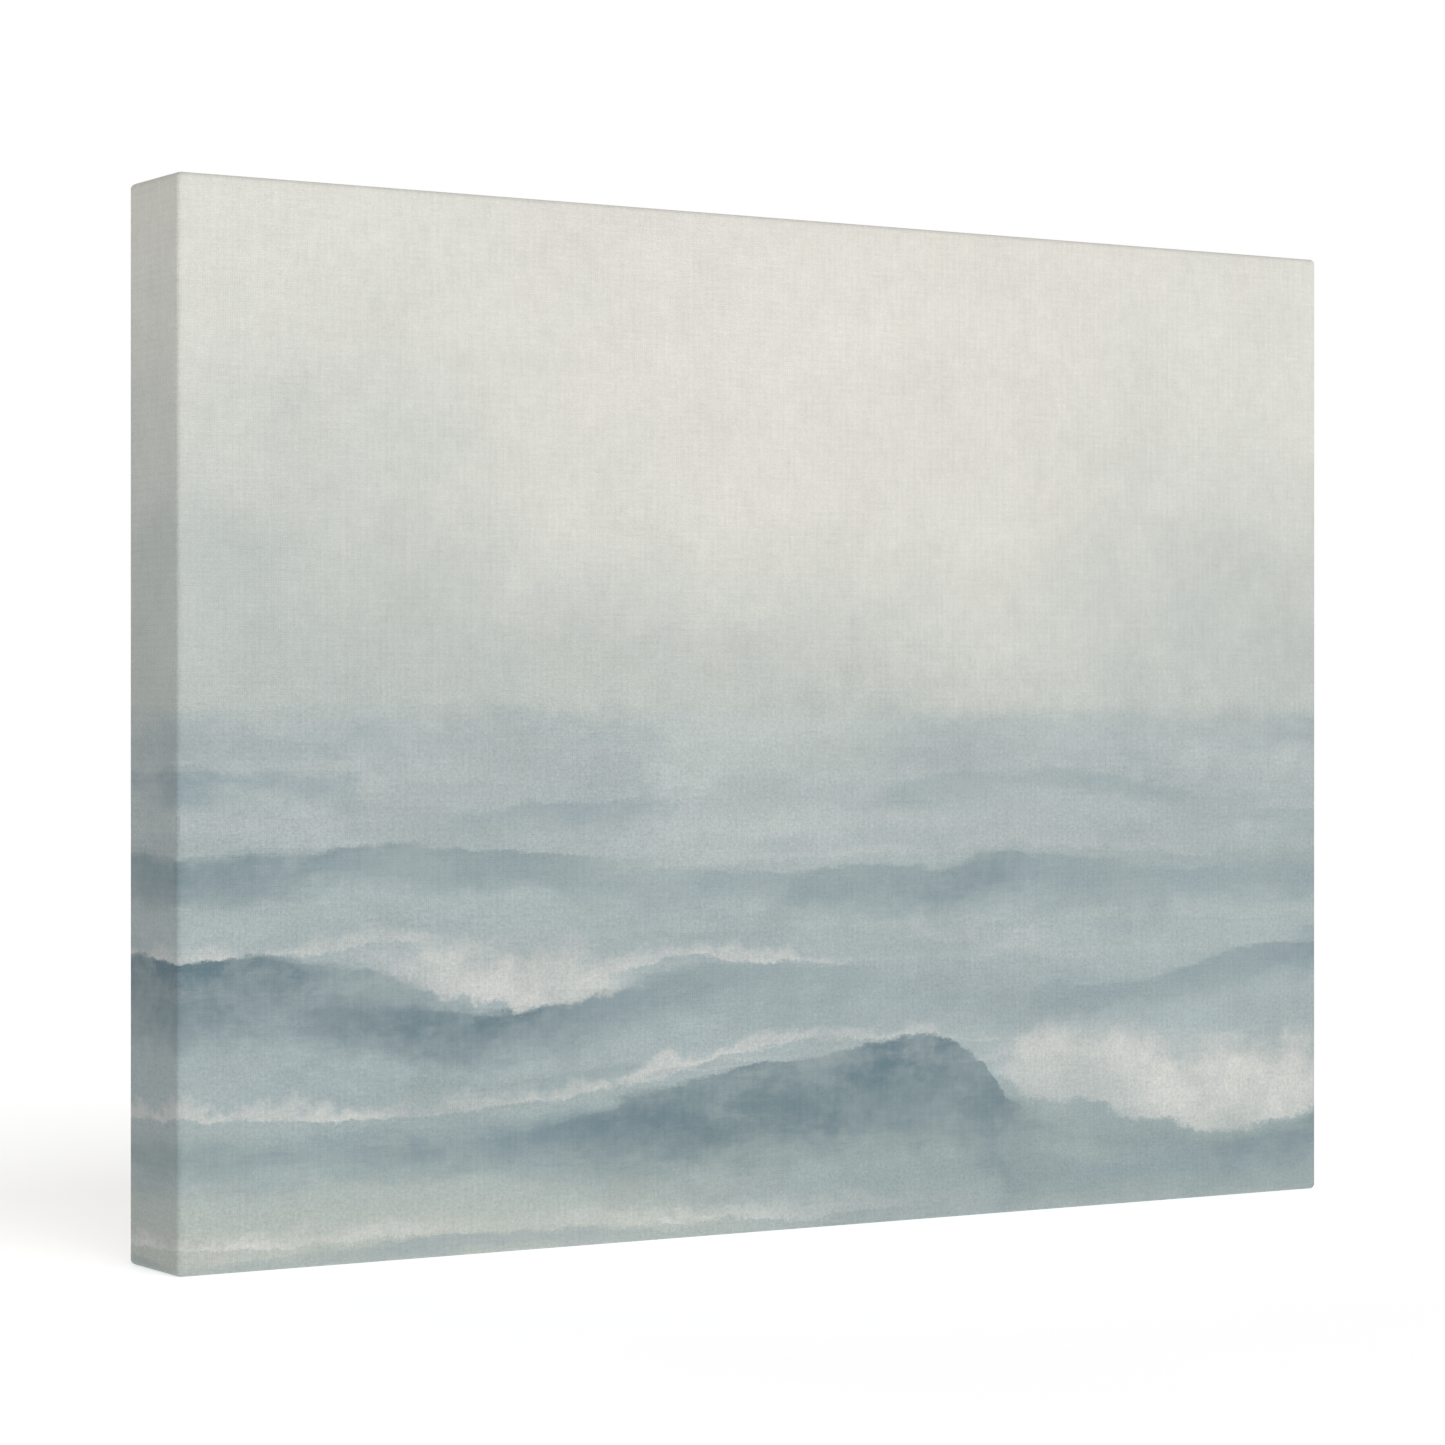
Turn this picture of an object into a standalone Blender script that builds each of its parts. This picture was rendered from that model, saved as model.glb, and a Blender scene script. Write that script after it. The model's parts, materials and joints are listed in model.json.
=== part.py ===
"""Stretched canvas: cloth wrapped round a keyed wooden stretcher of 16 x 12 x 1 1/4 inches.

Metres, +Z up. The picture faces -Y and the canvas stands on its bottom edge, with the origin
under the middle of its box. Left and right are as seen from the front, with +X to the right.

Each side of the stretcher has a frame of its own, (u, v, w): u runs along the side from its
start corner, v runs inwards from the outer edge of the wood, and w runs forwards from the back
face of the wood. The sides follow each other anticlockwise, as seen from the front.
"""
import math

import bmesh
import bpy
from mathutils import Matrix, Vector

INCH = 0.0254
MM = 0.001

# Fits
GAP = 0.3 * MM                  # between neighbouring pieces
HALF_GAP = GAP / 2
OVERRUN = 1.0 * MM              # how far a cutter runs past what it cuts

# The stretcher's trade size, which is that of the wood
WOOD_WIDTH = 16 * INCH
WOOD_HEIGHT = 12 * INCH
WOOD_DEPTH = 1.25 * INCH

# Cloth, and the size over it
CLOTH = 0.6 * MM
SKIN = CLOTH + GAP              # from the outside of the cloth to the wood
WIDTH = WOOD_WIDTH + 2 * SKIN
HEIGHT = WOOD_HEIGHT + 2 * SKIN
DEPTH = WOOD_DEPTH + 2 * SKIN
MARGIN = 27.0 * MM              # the width folded on to the back
EDGE_RADIUS = 2.0 * MM          # of the cloth, round every outer edge
WOOD_RADIUS = EDGE_RADIUS - SKIN
EDGE_SEGMENTS = 3

# Stretcher bars: a flat base, and an outer lip that holds the cloth off it
BAR_WIDTH = 38.0 * MM
BASE_THICKNESS = 19.0 * MM
LIP_TOP = 4.0 * MM
LIP_FOOT = 11.0 * MM
LIP_FOOT_HEIGHT = 21.5 * MM

# Corner joint: the layers, by the depth at which each begins. Layers 0 and 3 are mitred, and
# layers 1 and 2 each hold a tenon of one bar in a slot of the other.
LAYERS = (0.0, 5.5 * MM, 10.0 * MM, 14.5 * MM)
START_SLOT_LAYER = 2
END_SLOT_LAYER = 1

# Wedge keys
KEY_LENGTH = 38.0 * MM
KEY_TIP = 2.5 * MM
KEY_BUTT = 16.5 * MM
KEY_INSERTED = 15.0 * MM
KEY_SLOPE = (KEY_BUTT - KEY_TIP) / KEY_LENGTH

# Staples
STAPLE_CROWN = 10.6 * MM
STAPLE_LEG = 6.0 * MM
WIRE_WIDTH = 1.2 * MM
WIRE_THICKNESS = 0.5 * MM
STAPLE_SHOULDER = 0.3 * MM
STAPLE_INSET = 14.0 * MM        # from the outer edge of the wood
FIRST_STAPLE = 26.0 * MM        # from the corner of the wood
LONG_SIDE_STAPLES = 8
SHORT_SIDE_STAPLES = 6

# Sawtooth hanger, on the bare wood inside the cloth's margin
HANGER_LENGTH = 44.0 * MM
HANGER_HEIGHT = 8.0 * MM
HANGER_SHEET = 0.8 * MM
HANGER_RISE = 1.4 * MM
HANGER_TAB = 6.0 * MM
HANGER_RAMP = 2.0 * MM
HANGER_EDGE = 36.8 * MM         # its toothed edge, from the outer edge of the wood
TOOTH_PITCH = 2.4 * MM
TOOTH_DEPTH = 1.3 * MM
TEETH = 10

# Hanger nails
NAIL_HEAD_RADIUS = 1.8 * MM
NAIL_HEAD_THICKNESS = 0.7 * MM
NAIL_RADIUS = 0.65 * MM
NAIL_LENGTH = 10.5 * MM
NAIL_POINT = 1.8 * MM
NAIL_STEPS = 12

# Rubber bumpers on the bottom corners
BUMPER_RADIUS = 4.75 * MM
BUMPER_TOP_RADIUS = 3.2 * MM
BUMPER_THICKNESS = 2.7 * MM
BUMPER_WALL = 0.9 * MM
BUMPER_FROM_END = 51.0 * MM     # from the corner of the wood, between two staples
BUMPER_STEPS = 20

FRONT = -(DEPTH + GAP + BUMPER_THICKNESS) / 2
BACK = FRONT + DEPTH
WOOD_BACK = BACK - SKIN
CLOTH_BACK = -SKIN              # the outside of the margin, in a side's own w

SIDES = ("bottom", "right", "top", "left")
SIDE_ENDS = {
    "bottom": ("left", "right"),
    "right": ("bottom", "top"),
    "top": ("right", "left"),
    "left": ("top", "bottom"),
}


def empty_scene():
    for obj in list(bpy.data.objects):
        bpy.data.objects.remove(obj, do_unlink=True)


def new_collection(name):
    collection = bpy.data.collections.new(name)
    bpy.context.scene.collection.children.link(collection)
    return collection


def new_material(name, colour, roughness, metallic=0.0):
    material = bpy.data.materials.new(name)
    material.use_nodes = True
    shader = material.node_tree.nodes["Principled BSDF"]
    shader.inputs["Base Color"].default_value = (*colour, 1.0)
    shader.inputs["Roughness"].default_value = roughness
    shader.inputs["Metallic"].default_value = metallic
    material.diffuse_color = (*colour, 1.0)
    return material


def add_part(name, mesh, matrix, material):
    obj = bpy.data.objects.new(name, mesh)
    obj.matrix_world = matrix
    obj.data.materials.clear()
    obj.data.materials.append(material)
    PARTS.objects.link(obj)
    return obj


def add_cutter(name, mesh, matrix):
    obj = bpy.data.objects.new(name, mesh)
    obj.matrix_world = matrix
    obj.display_type = "WIRE"
    obj.hide_render = True
    CUTTERS.objects.link(obj)
    return obj


def boolean(obj, cutter, operation="DIFFERENCE"):
    modifier = obj.modifiers.new(cutter.name, "BOOLEAN")
    modifier.operation = operation
    modifier.solver = "EXACT"
    modifier.object = cutter


def prism(name, outline, thickness):
    """A mesh of a flat outline in XY, raised from z = 0 to its thickness."""
    curve = bpy.data.curves.new(name, "CURVE")
    curve.dimensions = "2D"
    curve.fill_mode = "BOTH"
    curve.extrude = thickness / 2
    spline = curve.splines.new("POLY")
    spline.points.add(len(outline) - 1)
    for point, (x, y) in zip(spline.points, outline):
        point.co = (x, y, 0.0, 1.0)
    spline.use_cyclic_u = True
    guide = bpy.data.objects.new(name, curve)
    bpy.context.scene.collection.objects.link(guide)
    bpy.context.view_layer.update()
    evaluated = guide.evaluated_get(bpy.context.evaluated_depsgraph_get())
    mesh = bpy.data.meshes.new_from_object(evaluated)
    bpy.data.objects.remove(guide, do_unlink=True)
    bpy.data.curves.remove(curve)
    bm = bmesh.new()
    bm.from_mesh(mesh)
    bmesh.ops.remove_doubles(bm, verts=bm.verts, dist=0.01 * MM)
    bmesh.ops.translate(bm, verts=bm.verts, vec=(0.0, 0.0, thickness / 2))
    bmesh.ops.recalc_face_normals(bm, faces=bm.faces)
    bm.to_mesh(mesh)
    bm.free()
    mesh.name = name
    return mesh


def boxes(name, spans):
    """One mesh of boxes, each given by its lowest and highest corner."""
    bm = bmesh.new()
    for low, high in spans:
        low = Vector(low)
        high = Vector(high)
        size = Matrix.Diagonal((*(high - low), 1.0))
        bmesh.ops.create_cube(bm, size=1.0, matrix=Matrix.Translation((low + high) / 2) @ size)
    mesh = bpy.data.meshes.new(name)
    bm.to_mesh(mesh)
    bm.free()
    return mesh


def rounded_box(name, size, radius):
    """A box about the origin with every edge rounded."""
    bm = bmesh.new()
    bmesh.ops.create_cube(bm, size=1.0, matrix=Matrix.Diagonal((*size, 1.0)))
    bmesh.ops.bevel(bm, geom=bm.edges, offset=radius, segments=EDGE_SEGMENTS, profile=0.5,
                    affect="EDGES")
    mesh = bpy.data.meshes.new(name)
    bm.to_mesh(mesh)
    bm.free()
    return mesh


def cylinder(name, radius, length, steps):
    """A cylinder about Z, from z = 0 up to its length."""
    bm = bmesh.new()
    bmesh.ops.create_cone(bm, cap_ends=True, segments=steps, radius1=radius, radius2=radius,
                          depth=length, matrix=Matrix.Translation((0.0, 0.0, length / 2)))
    mesh = bpy.data.meshes.new(name)
    bm.to_mesh(mesh)
    bm.free()
    return mesh


def add_turned(name, profile, steps, matrix, material):
    """A part turned about its own Z from (radius, height) points, listed from top to bottom."""
    mesh = bpy.data.meshes.new(name)
    points = [(radius, 0.0, height) for radius, height in profile]
    edges = [(i, i + 1) for i in range(len(points) - 1)]
    mesh.from_pydata(points, edges, [])
    obj = add_part(name, mesh, matrix, material)
    screw = obj.modifiers.new("turn", "SCREW")
    screw.axis = "Z"
    screw.steps = steps
    screw.render_steps = steps
    screw.use_smooth_shade = False
    screw.use_merge_vertices = True
    screw.merge_threshold = 0.01 * MM
    return obj


def side_length(side):
    return WOOD_WIDTH if side in ("bottom", "top") else WOOD_HEIGHT


def side_frame(side):
    """The matrix from a side's own (u, v, w) to the world."""
    half = WOOD_WIDTH / 2
    low = SKIN
    high = SKIN + WOOD_HEIGHT
    corner = {
        "bottom": (-half, WOOD_BACK, low),
        "right": (half, WOOD_BACK, low),
        "top": (half, WOOD_BACK, high),
        "left": (-half, WOOD_BACK, high),
    }[side]
    quarter_turns = SIDES.index(side)
    turn = Matrix.Rotation(quarter_turns * math.pi / 2, 4, Vector((0.0, -1.0, 0.0)))
    upright = Matrix.Rotation(math.pi / 2, 4, "X")
    return Matrix.Translation(corner) @ turn @ upright


def mirrored(outline, length):
    """An outline at a side's start, moved to its other end."""
    return [(length - u, v) for u, v in outline]


def mitre_outline():
    """What lies beyond the mitre at a side's start."""
    shift = HALF_GAP * math.sqrt(2)
    top = BAR_WIDTH + OVERRUN
    return [(shift - OVERRUN, -OVERRUN), (shift + top, top), (-2 * OVERRUN, top),
            (-2 * OVERRUN, -OVERRUN)]


def key_thickness(v):
    """The thickness of a key across its taper, at the distance v from the bar's outer edge."""
    tip = BAR_WIDTH - KEY_INSERTED
    return KEY_TIP + (v - tip) * KEY_SLOPE


def slot_outline():
    """The slot at a side's start: room for the next bar's tenon and for the key beside it."""
    shoulder = BAR_WIDTH + GAP
    tip = BAR_WIDTH - KEY_INSERTED - GAP
    mouth = BAR_WIDTH + OVERRUN
    return [
        (-OVERRUN, -OVERRUN),
        (shoulder, -OVERRUN),
        (shoulder, tip),
        (shoulder + key_thickness(tip) + GAP, tip),
        (shoulder + key_thickness(mouth) + GAP, mouth),
        (-OVERRUN, mouth),
    ]


def key_outline():
    """A wedge key at a side's start, beside the tenon of the bar before it."""
    edge = BAR_WIDTH + GAP
    tip = BAR_WIDTH - KEY_INSERTED
    butt = tip + KEY_LENGTH
    return [(edge, tip), (edge + KEY_TIP, tip), (edge + KEY_BUTT, butt), (edge, butt)]


def bar_section():
    """The section of a bar, as (v, w)."""
    return [(0.0, 0.0), (BAR_WIDTH, 0.0), (BAR_WIDTH, BASE_THICKNESS),
            (LIP_FOOT, LIP_FOOT_HEIGHT), (LIP_TOP, WOOD_DEPTH), (0.0, WOOD_DEPTH)]


def staple_places(side):
    """The distance of each staple's middle along its side."""
    count = LONG_SIDE_STAPLES if side in ("bottom", "top") else SHORT_SIDE_STAPLES
    pitch = (side_length(side) - 2 * FIRST_STAPLE) / (count - 1)
    return [FIRST_STAPLE + i * pitch for i in range(count)]


def leg_holes(side):
    """The clearance round every staple leg on a side, through the cloth and into the wood."""
    leg_centre = (STAPLE_CROWN - WIRE_THICKNESS) / 2
    half_u = WIRE_THICKNESS / 2 + GAP
    half_v = WIRE_WIDTH / 2 + GAP
    bottom = CLOTH_BACK - GAP - WIRE_THICKNESS + STAPLE_LEG + GAP
    spans = []
    for place in staple_places(side):
        for leg in (place - leg_centre, place + leg_centre):
            low = (leg - half_u, STAPLE_INSET - half_v, CLOTH_BACK - OVERRUN)
            high = (leg + half_u, STAPLE_INSET + half_v, bottom)
            spans.append((low, high))
    return add_cutter(f"leg_holes_{side}", boxes(f"leg_holes_{side}", spans), side_frame(side))


def nail_offsets():
    """Where the two hanger nails are along the top side."""
    reach = (HANGER_LENGTH - HANGER_TAB) / 2
    return [side_length("top") / 2 + sign * reach for sign in (1, -1)]


def nail_frame(offset):
    """A nail's own frame: its origin on the back of the wood, with Z out of the back."""
    place = Matrix.Translation((offset, HANGER_EDGE - HANGER_HEIGHT / 2, 0.0))
    return side_frame("top") @ place @ Matrix.Rotation(math.pi, 4, "X")


def nail_holes():
    depth = NAIL_LENGTH + GAP
    reach = SKIN + HANGER_RISE + HANGER_SHEET
    cutters = []
    for number, offset in enumerate(nail_offsets()):
        mesh = cylinder(f"nail_hole_{number}", NAIL_RADIUS + GAP, depth + reach, NAIL_STEPS)
        down = Matrix.Translation((0.0, 0.0, -depth + HANGER_SHEET + 2 * GAP))
        cutters.append(add_cutter(f"nail_hole_{number}", mesh, nail_frame(offset) @ down))
    return cutters


def joint_cutters(side):
    """The cutters that shape both ends of a bar into its half of each corner joint."""
    length = side_length(side)
    cutters = []
    for end, slot_layer in (("start", START_SLOT_LAYER), ("end", END_SLOT_LAYER)):
        mitre = mitre_outline()
        slot = slot_outline()
        if end == "end":
            mitre = mirrored(mitre, length)
            slot = mirrored(slot, length)
        slot_low = LAYERS[slot_layer] - HALF_GAP
        slot_high = LAYERS[slot_layer + 1] + HALF_GAP
        spans = (
            ("back_mitre", mitre, -OVERRUN, LAYERS[1] + HALF_GAP),
            ("slot", slot, slot_low, slot_high),
            ("front_mitre", mitre, LAYERS[3] - HALF_GAP, WOOD_DEPTH + OVERRUN),
        )
        for kind, outline, low, high in spans:
            name = f"{side}_{end}_{kind}"
            matrix = side_frame(side) @ Matrix.Translation((0.0, 0.0, low))
            cutters.append(add_cutter(name, prism(name, outline, high - low), matrix))
    return cutters


def make_bar(side, envelope, holes, material):
    name = f"stretcher_bar_{side}"
    mesh = prism(name, bar_section(), side_length(side))
    lengthwise = Matrix(((0, 0, 1, 0), (1, 0, 0, 0), (0, 1, 0, 0), (0, 0, 0, 1)))
    bar = add_part(name, mesh, side_frame(side) @ lengthwise, material)
    for cutter in joint_cutters(side):
        boolean(bar, cutter)
    boolean(bar, envelope, "INTERSECT")
    for cutter in holes:
        boolean(bar, cutter)


def make_keys(side, material):
    """The two keys that are driven into the slots of one bar."""
    length = side_length(side)
    thickness = LAYERS[2] - LAYERS[1] - GAP
    middle = Vector((BAR_WIDTH + GAP + KEY_BUTT / 2, BAR_WIDTH - KEY_INSERTED + KEY_LENGTH / 2))
    outline = [(u - middle.x, v - middle.y) for u, v in key_outline()]
    ends = (
        (SIDE_ENDS[side][0], outline, middle.x, START_SLOT_LAYER),
        (SIDE_ENDS[side][1], mirrored(outline, 0.0), length - middle.x, END_SLOT_LAYER),
    )
    for end, shape, offset, layer in ends:
        name = f"wedge_key_{side}_bar_{end}"
        place = Matrix.Translation((offset, middle.y, LAYERS[layer] + HALF_GAP))
        add_part(name, prism(name, shape, thickness), side_frame(side) @ place, material)


def make_staples(side, material):
    half = STAPLE_CROWN / 2
    inner = half - WIRE_THICKNESS
    top = 0.0
    under = WIRE_THICKNESS
    outline = [
        (-half + STAPLE_SHOULDER, top),
        (half - STAPLE_SHOULDER, top),
        (half, top + STAPLE_SHOULDER),
        (half, STAPLE_LEG),
        (inner, STAPLE_LEG - WIRE_THICKNESS),
        (inner, under),
        (-inner, under),
        (-inner, STAPLE_LEG - WIRE_THICKNESS),
        (-half, STAPLE_LEG),
        (-half, top + STAPLE_SHOULDER),
    ]
    mesh = prism(f"staple_{side}", outline, WIRE_WIDTH)
    stand = Matrix.Rotation(math.pi / 2, 4, "X")
    crown_top = CLOTH_BACK - GAP - WIRE_THICKNESS
    for number, place in enumerate(staple_places(side), start=1):
        spot = Matrix.Translation((place, STAPLE_INSET + WIRE_WIDTH / 2, crown_top))
        add_part(f"staple_{side}_{number}", mesh, side_frame(side) @ spot @ stand, material)


def make_canvas(holes, material):
    """The cloth: a box open at the back, where its margin is folded round the wood."""
    bm = bmesh.new()
    size = Matrix.Diagonal((WIDTH, DEPTH, HEIGHT, 1.0))
    bmesh.ops.create_cube(bm, size=1.0, matrix=size)
    edges = list(bm.edges)
    back = max(bm.faces, key=lambda face: face.calc_center_median().y)
    bmesh.ops.inset_region(bm, faces=[back], thickness=MARGIN)
    bmesh.ops.delete(bm, geom=[back], context="FACES")
    bmesh.ops.bevel(bm, geom=edges, offset=EDGE_RADIUS, segments=EDGE_SEGMENTS, profile=0.5,
                    affect="EDGES")
    mesh = bpy.data.meshes.new("canvas")
    bm.to_mesh(mesh)
    bm.free()
    middle = Matrix.Translation((0.0, (FRONT + BACK) / 2, HEIGHT / 2))
    canvas = add_part("canvas", mesh, middle, material)
    solidify = canvas.modifiers.new("cloth", "SOLIDIFY")
    solidify.thickness = CLOTH
    solidify.offset = -1.0
    solidify.use_even_offset = True
    for cutter in holes:
        boolean(canvas, cutter)


def make_hanger(holes, material):
    """A bent steel strip, raised in the middle, with teeth along its lower edge."""
    half = HANGER_LENGTH / 2
    foot = half - HANGER_TAB
    crest = foot - HANGER_RAMP
    lean = HANGER_SHEET / 2         # keeps the sheet's thickness over the ramp
    seat = -GAP
    rear = seat - HANGER_SHEET
    rear_side = [(-half, rear), (-foot, rear), (-crest, rear - HANGER_RISE),
                 (crest, rear - HANGER_RISE), (foot, rear), (half, rear)]
    front_side = [(half, seat), (foot - lean, seat), (crest - lean, seat - HANGER_RISE),
                  (lean - crest, seat - HANGER_RISE), (lean - foot, seat), (-half, seat)]
    mesh = prism("sawtooth_hanger", rear_side + front_side, HANGER_HEIGHT)
    middle = Matrix.Translation((side_length("top") / 2, HANGER_EDGE, 0.0))
    stand = Matrix.Rotation(math.pi / 2, 4, "X")
    hanger = add_part("sawtooth_hanger", mesh, side_frame("top") @ middle @ stand, material)

    saw = [(-TEETH * TOOTH_PITCH / 2, OVERRUN)]
    for tooth in range(TEETH):
        start = (tooth - TEETH / 2) * TOOTH_PITCH
        saw.append((start, 0.0))
        saw.append((start + TOOTH_PITCH / 2, -TOOTH_DEPTH))
    saw.append((TEETH * TOOTH_PITCH / 2, 0.0))
    saw.append((TEETH * TOOTH_PITCH / 2, OVERRUN))
    saw_depth = HANGER_RISE + HANGER_SHEET + 4 * GAP
    low = seat - HANGER_RISE - HANGER_SHEET - 2 * GAP
    at = side_frame("top") @ middle @ Matrix.Translation((0.0, 0.0, low))
    boolean(hanger, add_cutter("hanger_teeth", prism("hanger_teeth", saw, saw_depth), at))
    for cutter in holes:
        boolean(hanger, cutter)


def make_nails(material):
    head_seat = GAP + HANGER_SHEET + GAP
    head_top = head_seat + NAIL_HEAD_THICKNESS
    tip = head_seat - NAIL_LENGTH
    profile = [
        (0.0, head_top),
        (NAIL_HEAD_RADIUS * 0.7, head_top),
        (NAIL_HEAD_RADIUS, head_top - NAIL_HEAD_THICKNESS / 2),
        (NAIL_HEAD_RADIUS, head_seat),
        (NAIL_RADIUS, head_seat),
        (NAIL_RADIUS, tip + NAIL_POINT),
        (0.0, tip),
    ]
    for end, offset in zip(("left", "right"), nail_offsets()):
        add_turned(f"hanger_nail_{end}", profile, NAIL_STEPS, nail_frame(offset), material)


def make_bumpers(material):
    """Two soft domes with flat tops that keep the bottom edge off the wall."""
    profile = [
        (0.0, BUMPER_THICKNESS),
        (BUMPER_TOP_RADIUS, BUMPER_THICKNESS),
        (BUMPER_RADIUS - BUMPER_WALL / 2, BUMPER_WALL * 2),
        (BUMPER_RADIUS, BUMPER_WALL),
        (BUMPER_RADIUS, 0.0),
        (0.0, 0.0),
    ]
    length = side_length("bottom")
    for end, offset in (("left", BUMPER_FROM_END), ("right", length - BUMPER_FROM_END)):
        place = Matrix.Translation((offset, STAPLE_INSET, CLOTH_BACK - GAP))
        matrix = side_frame("bottom") @ place @ Matrix.Rotation(math.pi, 4, "X")
        add_turned(f"bumper_{end}", profile, BUMPER_STEPS, matrix, material)


empty_scene()
PARTS = new_collection("stretched_canvas")
CUTTERS = new_collection("stretched_canvas_cutters")

CANVAS_CLOTH = new_material("canvas_cloth", (0.46, 0.52, 0.52), 0.85)
PINE = new_material("pine", (0.62, 0.43, 0.25), 0.60)
KEY_WOOD = new_material("key_wood", (0.70, 0.55, 0.36), 0.60)
STEEL_WIRE = new_material("steel_wire", (0.62, 0.62, 0.61), 0.35, 1.0)
PLATED_STEEL = new_material("plated_steel", (0.72, 0.62, 0.42), 0.30, 1.0)
CLEAR_RUBBER = new_material("clear_rubber", (0.75, 0.76, 0.75), 0.25)

WOOD_ENVELOPE = add_cutter(
    "wood_envelope",
    rounded_box("wood_envelope", (WOOD_WIDTH, WOOD_DEPTH, WOOD_HEIGHT), WOOD_RADIUS),
    Matrix.Translation((0.0, WOOD_BACK - WOOD_DEPTH / 2, HEIGHT / 2)),
)
NAIL_HOLES = nail_holes()
LEG_HOLES = {side: leg_holes(side) for side in SIDES}

for bar_side in SIDES:
    bar_holes = [LEG_HOLES[bar_side]]
    if bar_side == "top":
        bar_holes += NAIL_HOLES
    make_bar(bar_side, WOOD_ENVELOPE, bar_holes, PINE)
    make_keys(bar_side, KEY_WOOD)
    make_staples(bar_side, STEEL_WIRE)

make_canvas(list(LEG_HOLES.values()), CANVAS_CLOTH)
make_hanger(NAIL_HOLES, PLATED_STEEL)
make_nails(PLATED_STEEL)
make_bumpers(CLEAR_RUBBER)
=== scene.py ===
"""The looks of the stretched canvas: printed cloth, folded corners, pine, staples and fittings.

Metres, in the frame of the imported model: the picture faces -Y and +Z is up. The cloth is
described by two coordinates. "flat" is where a point lay when the cloth was still a flat
sheet. "f" is how far it is beyond the flat of the picture, along the cloth, over the rounded
front edge, across the side, over the back edge and in along the back.
"""
import json
import math
import random

import bmesh
import bpy
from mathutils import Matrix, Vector
from mathutils.noise import noise as solid_noise

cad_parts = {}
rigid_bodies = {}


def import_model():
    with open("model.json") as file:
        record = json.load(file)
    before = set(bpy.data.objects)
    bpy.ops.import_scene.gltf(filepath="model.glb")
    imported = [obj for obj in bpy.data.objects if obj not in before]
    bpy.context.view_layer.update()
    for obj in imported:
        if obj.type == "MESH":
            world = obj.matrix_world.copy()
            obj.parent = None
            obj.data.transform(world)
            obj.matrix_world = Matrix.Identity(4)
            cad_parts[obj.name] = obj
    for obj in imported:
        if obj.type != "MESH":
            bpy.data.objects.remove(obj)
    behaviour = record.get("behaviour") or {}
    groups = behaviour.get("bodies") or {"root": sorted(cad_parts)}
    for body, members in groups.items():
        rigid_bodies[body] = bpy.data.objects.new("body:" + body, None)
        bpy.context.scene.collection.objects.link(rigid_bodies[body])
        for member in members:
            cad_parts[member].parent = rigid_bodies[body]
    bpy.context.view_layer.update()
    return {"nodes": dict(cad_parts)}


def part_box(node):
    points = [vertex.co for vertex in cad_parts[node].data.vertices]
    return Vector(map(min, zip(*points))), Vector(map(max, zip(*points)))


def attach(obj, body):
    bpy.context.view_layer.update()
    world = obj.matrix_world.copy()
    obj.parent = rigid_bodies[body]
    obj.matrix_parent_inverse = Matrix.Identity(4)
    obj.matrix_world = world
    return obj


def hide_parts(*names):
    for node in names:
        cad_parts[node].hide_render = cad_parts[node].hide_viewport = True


for leftover in list(bpy.data.objects):
    bpy.data.objects.remove(leftover, do_unlink=True)
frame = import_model()

MM = 0.001
LOW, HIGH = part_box("canvas")
WIDTH = HIGH.x - LOW.x
HEIGHT = HIGH.z - LOW.z
FRONT = LOW.y
BACK = HIGH.y

EDGE_RADIUS = 1.6 * MM  # of the cloth as it turns over the front and back edges
CLOTH = 0.6 * MM  # its thickness, with the primer
MARGIN = 27.0 * MM  # how far it comes in on the back
ARC = EDGE_RADIUS * math.pi / 2
SIDE_RUN = BACK - FRONT - 2 * EDGE_RADIUS
PRINT_OVERLAP = 5.0 * MM  # how far the print runs on to the back
TO_BACK = 2 * ARC + SIDE_RUN  # along the cloth, from the picture's flat to the back margin
TO_RAW_EDGE = TO_BACK + MARGIN - EDGE_RADIUS


# ---------------------------------------------------------------- fields on a surface

def linear(red, green, blue):
    """A display colour, 0 to 255, as scene-linear numbers."""
    values = []
    for byte in (red, green, blue):
        part = byte / 255
        values.append(part / 12.92 if part <= 0.04045 else ((part + 0.055) / 1.055) ** 2.4)
    return (*values, 1.0)


class Field:
    """A value that varies over a surface: one output of a shader node."""

    def __init__(self, tree, socket):
        self.tree = tree
        self.socket = socket

    def __add__(self, other):
        return arithmetic("ADD", self, other)

    def __sub__(self, other):
        return arithmetic("SUBTRACT", self, other)

    def __rsub__(self, other):
        return arithmetic("SUBTRACT", other, self)

    def __mul__(self, other):
        return arithmetic("MULTIPLY", self, other)

    def __truediv__(self, other):
        return arithmetic("DIVIDE", self, other)

    __radd__ = __add__
    __rmul__ = __mul__


def connect(value, socket):
    if isinstance(value, Field):
        value.tree.links.new(value.socket, socket)
    else:
        socket.default_value = value


def tree_of(*values):
    return next(value.tree for value in values if isinstance(value, Field))


def arithmetic(operation, *values):
    tree = tree_of(*values)
    node = tree.nodes.new("ShaderNodeMath")
    node.operation = operation
    for value, socket in zip(values, node.inputs):
        connect(value, socket)
    return Field(tree, node.outputs[0])


def smooth(low, high, value):
    """0 where value is below low, 1 above high, with a soft step between."""
    node = value.tree.nodes.new("ShaderNodeMapRange")
    node.interpolation_type = "SMOOTHSTEP"
    connect(value, node.inputs["Value"])
    connect(low, node.inputs["From Min"])
    connect(high, node.inputs["From Max"])
    return Field(value.tree, node.outputs["Result"])


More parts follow.
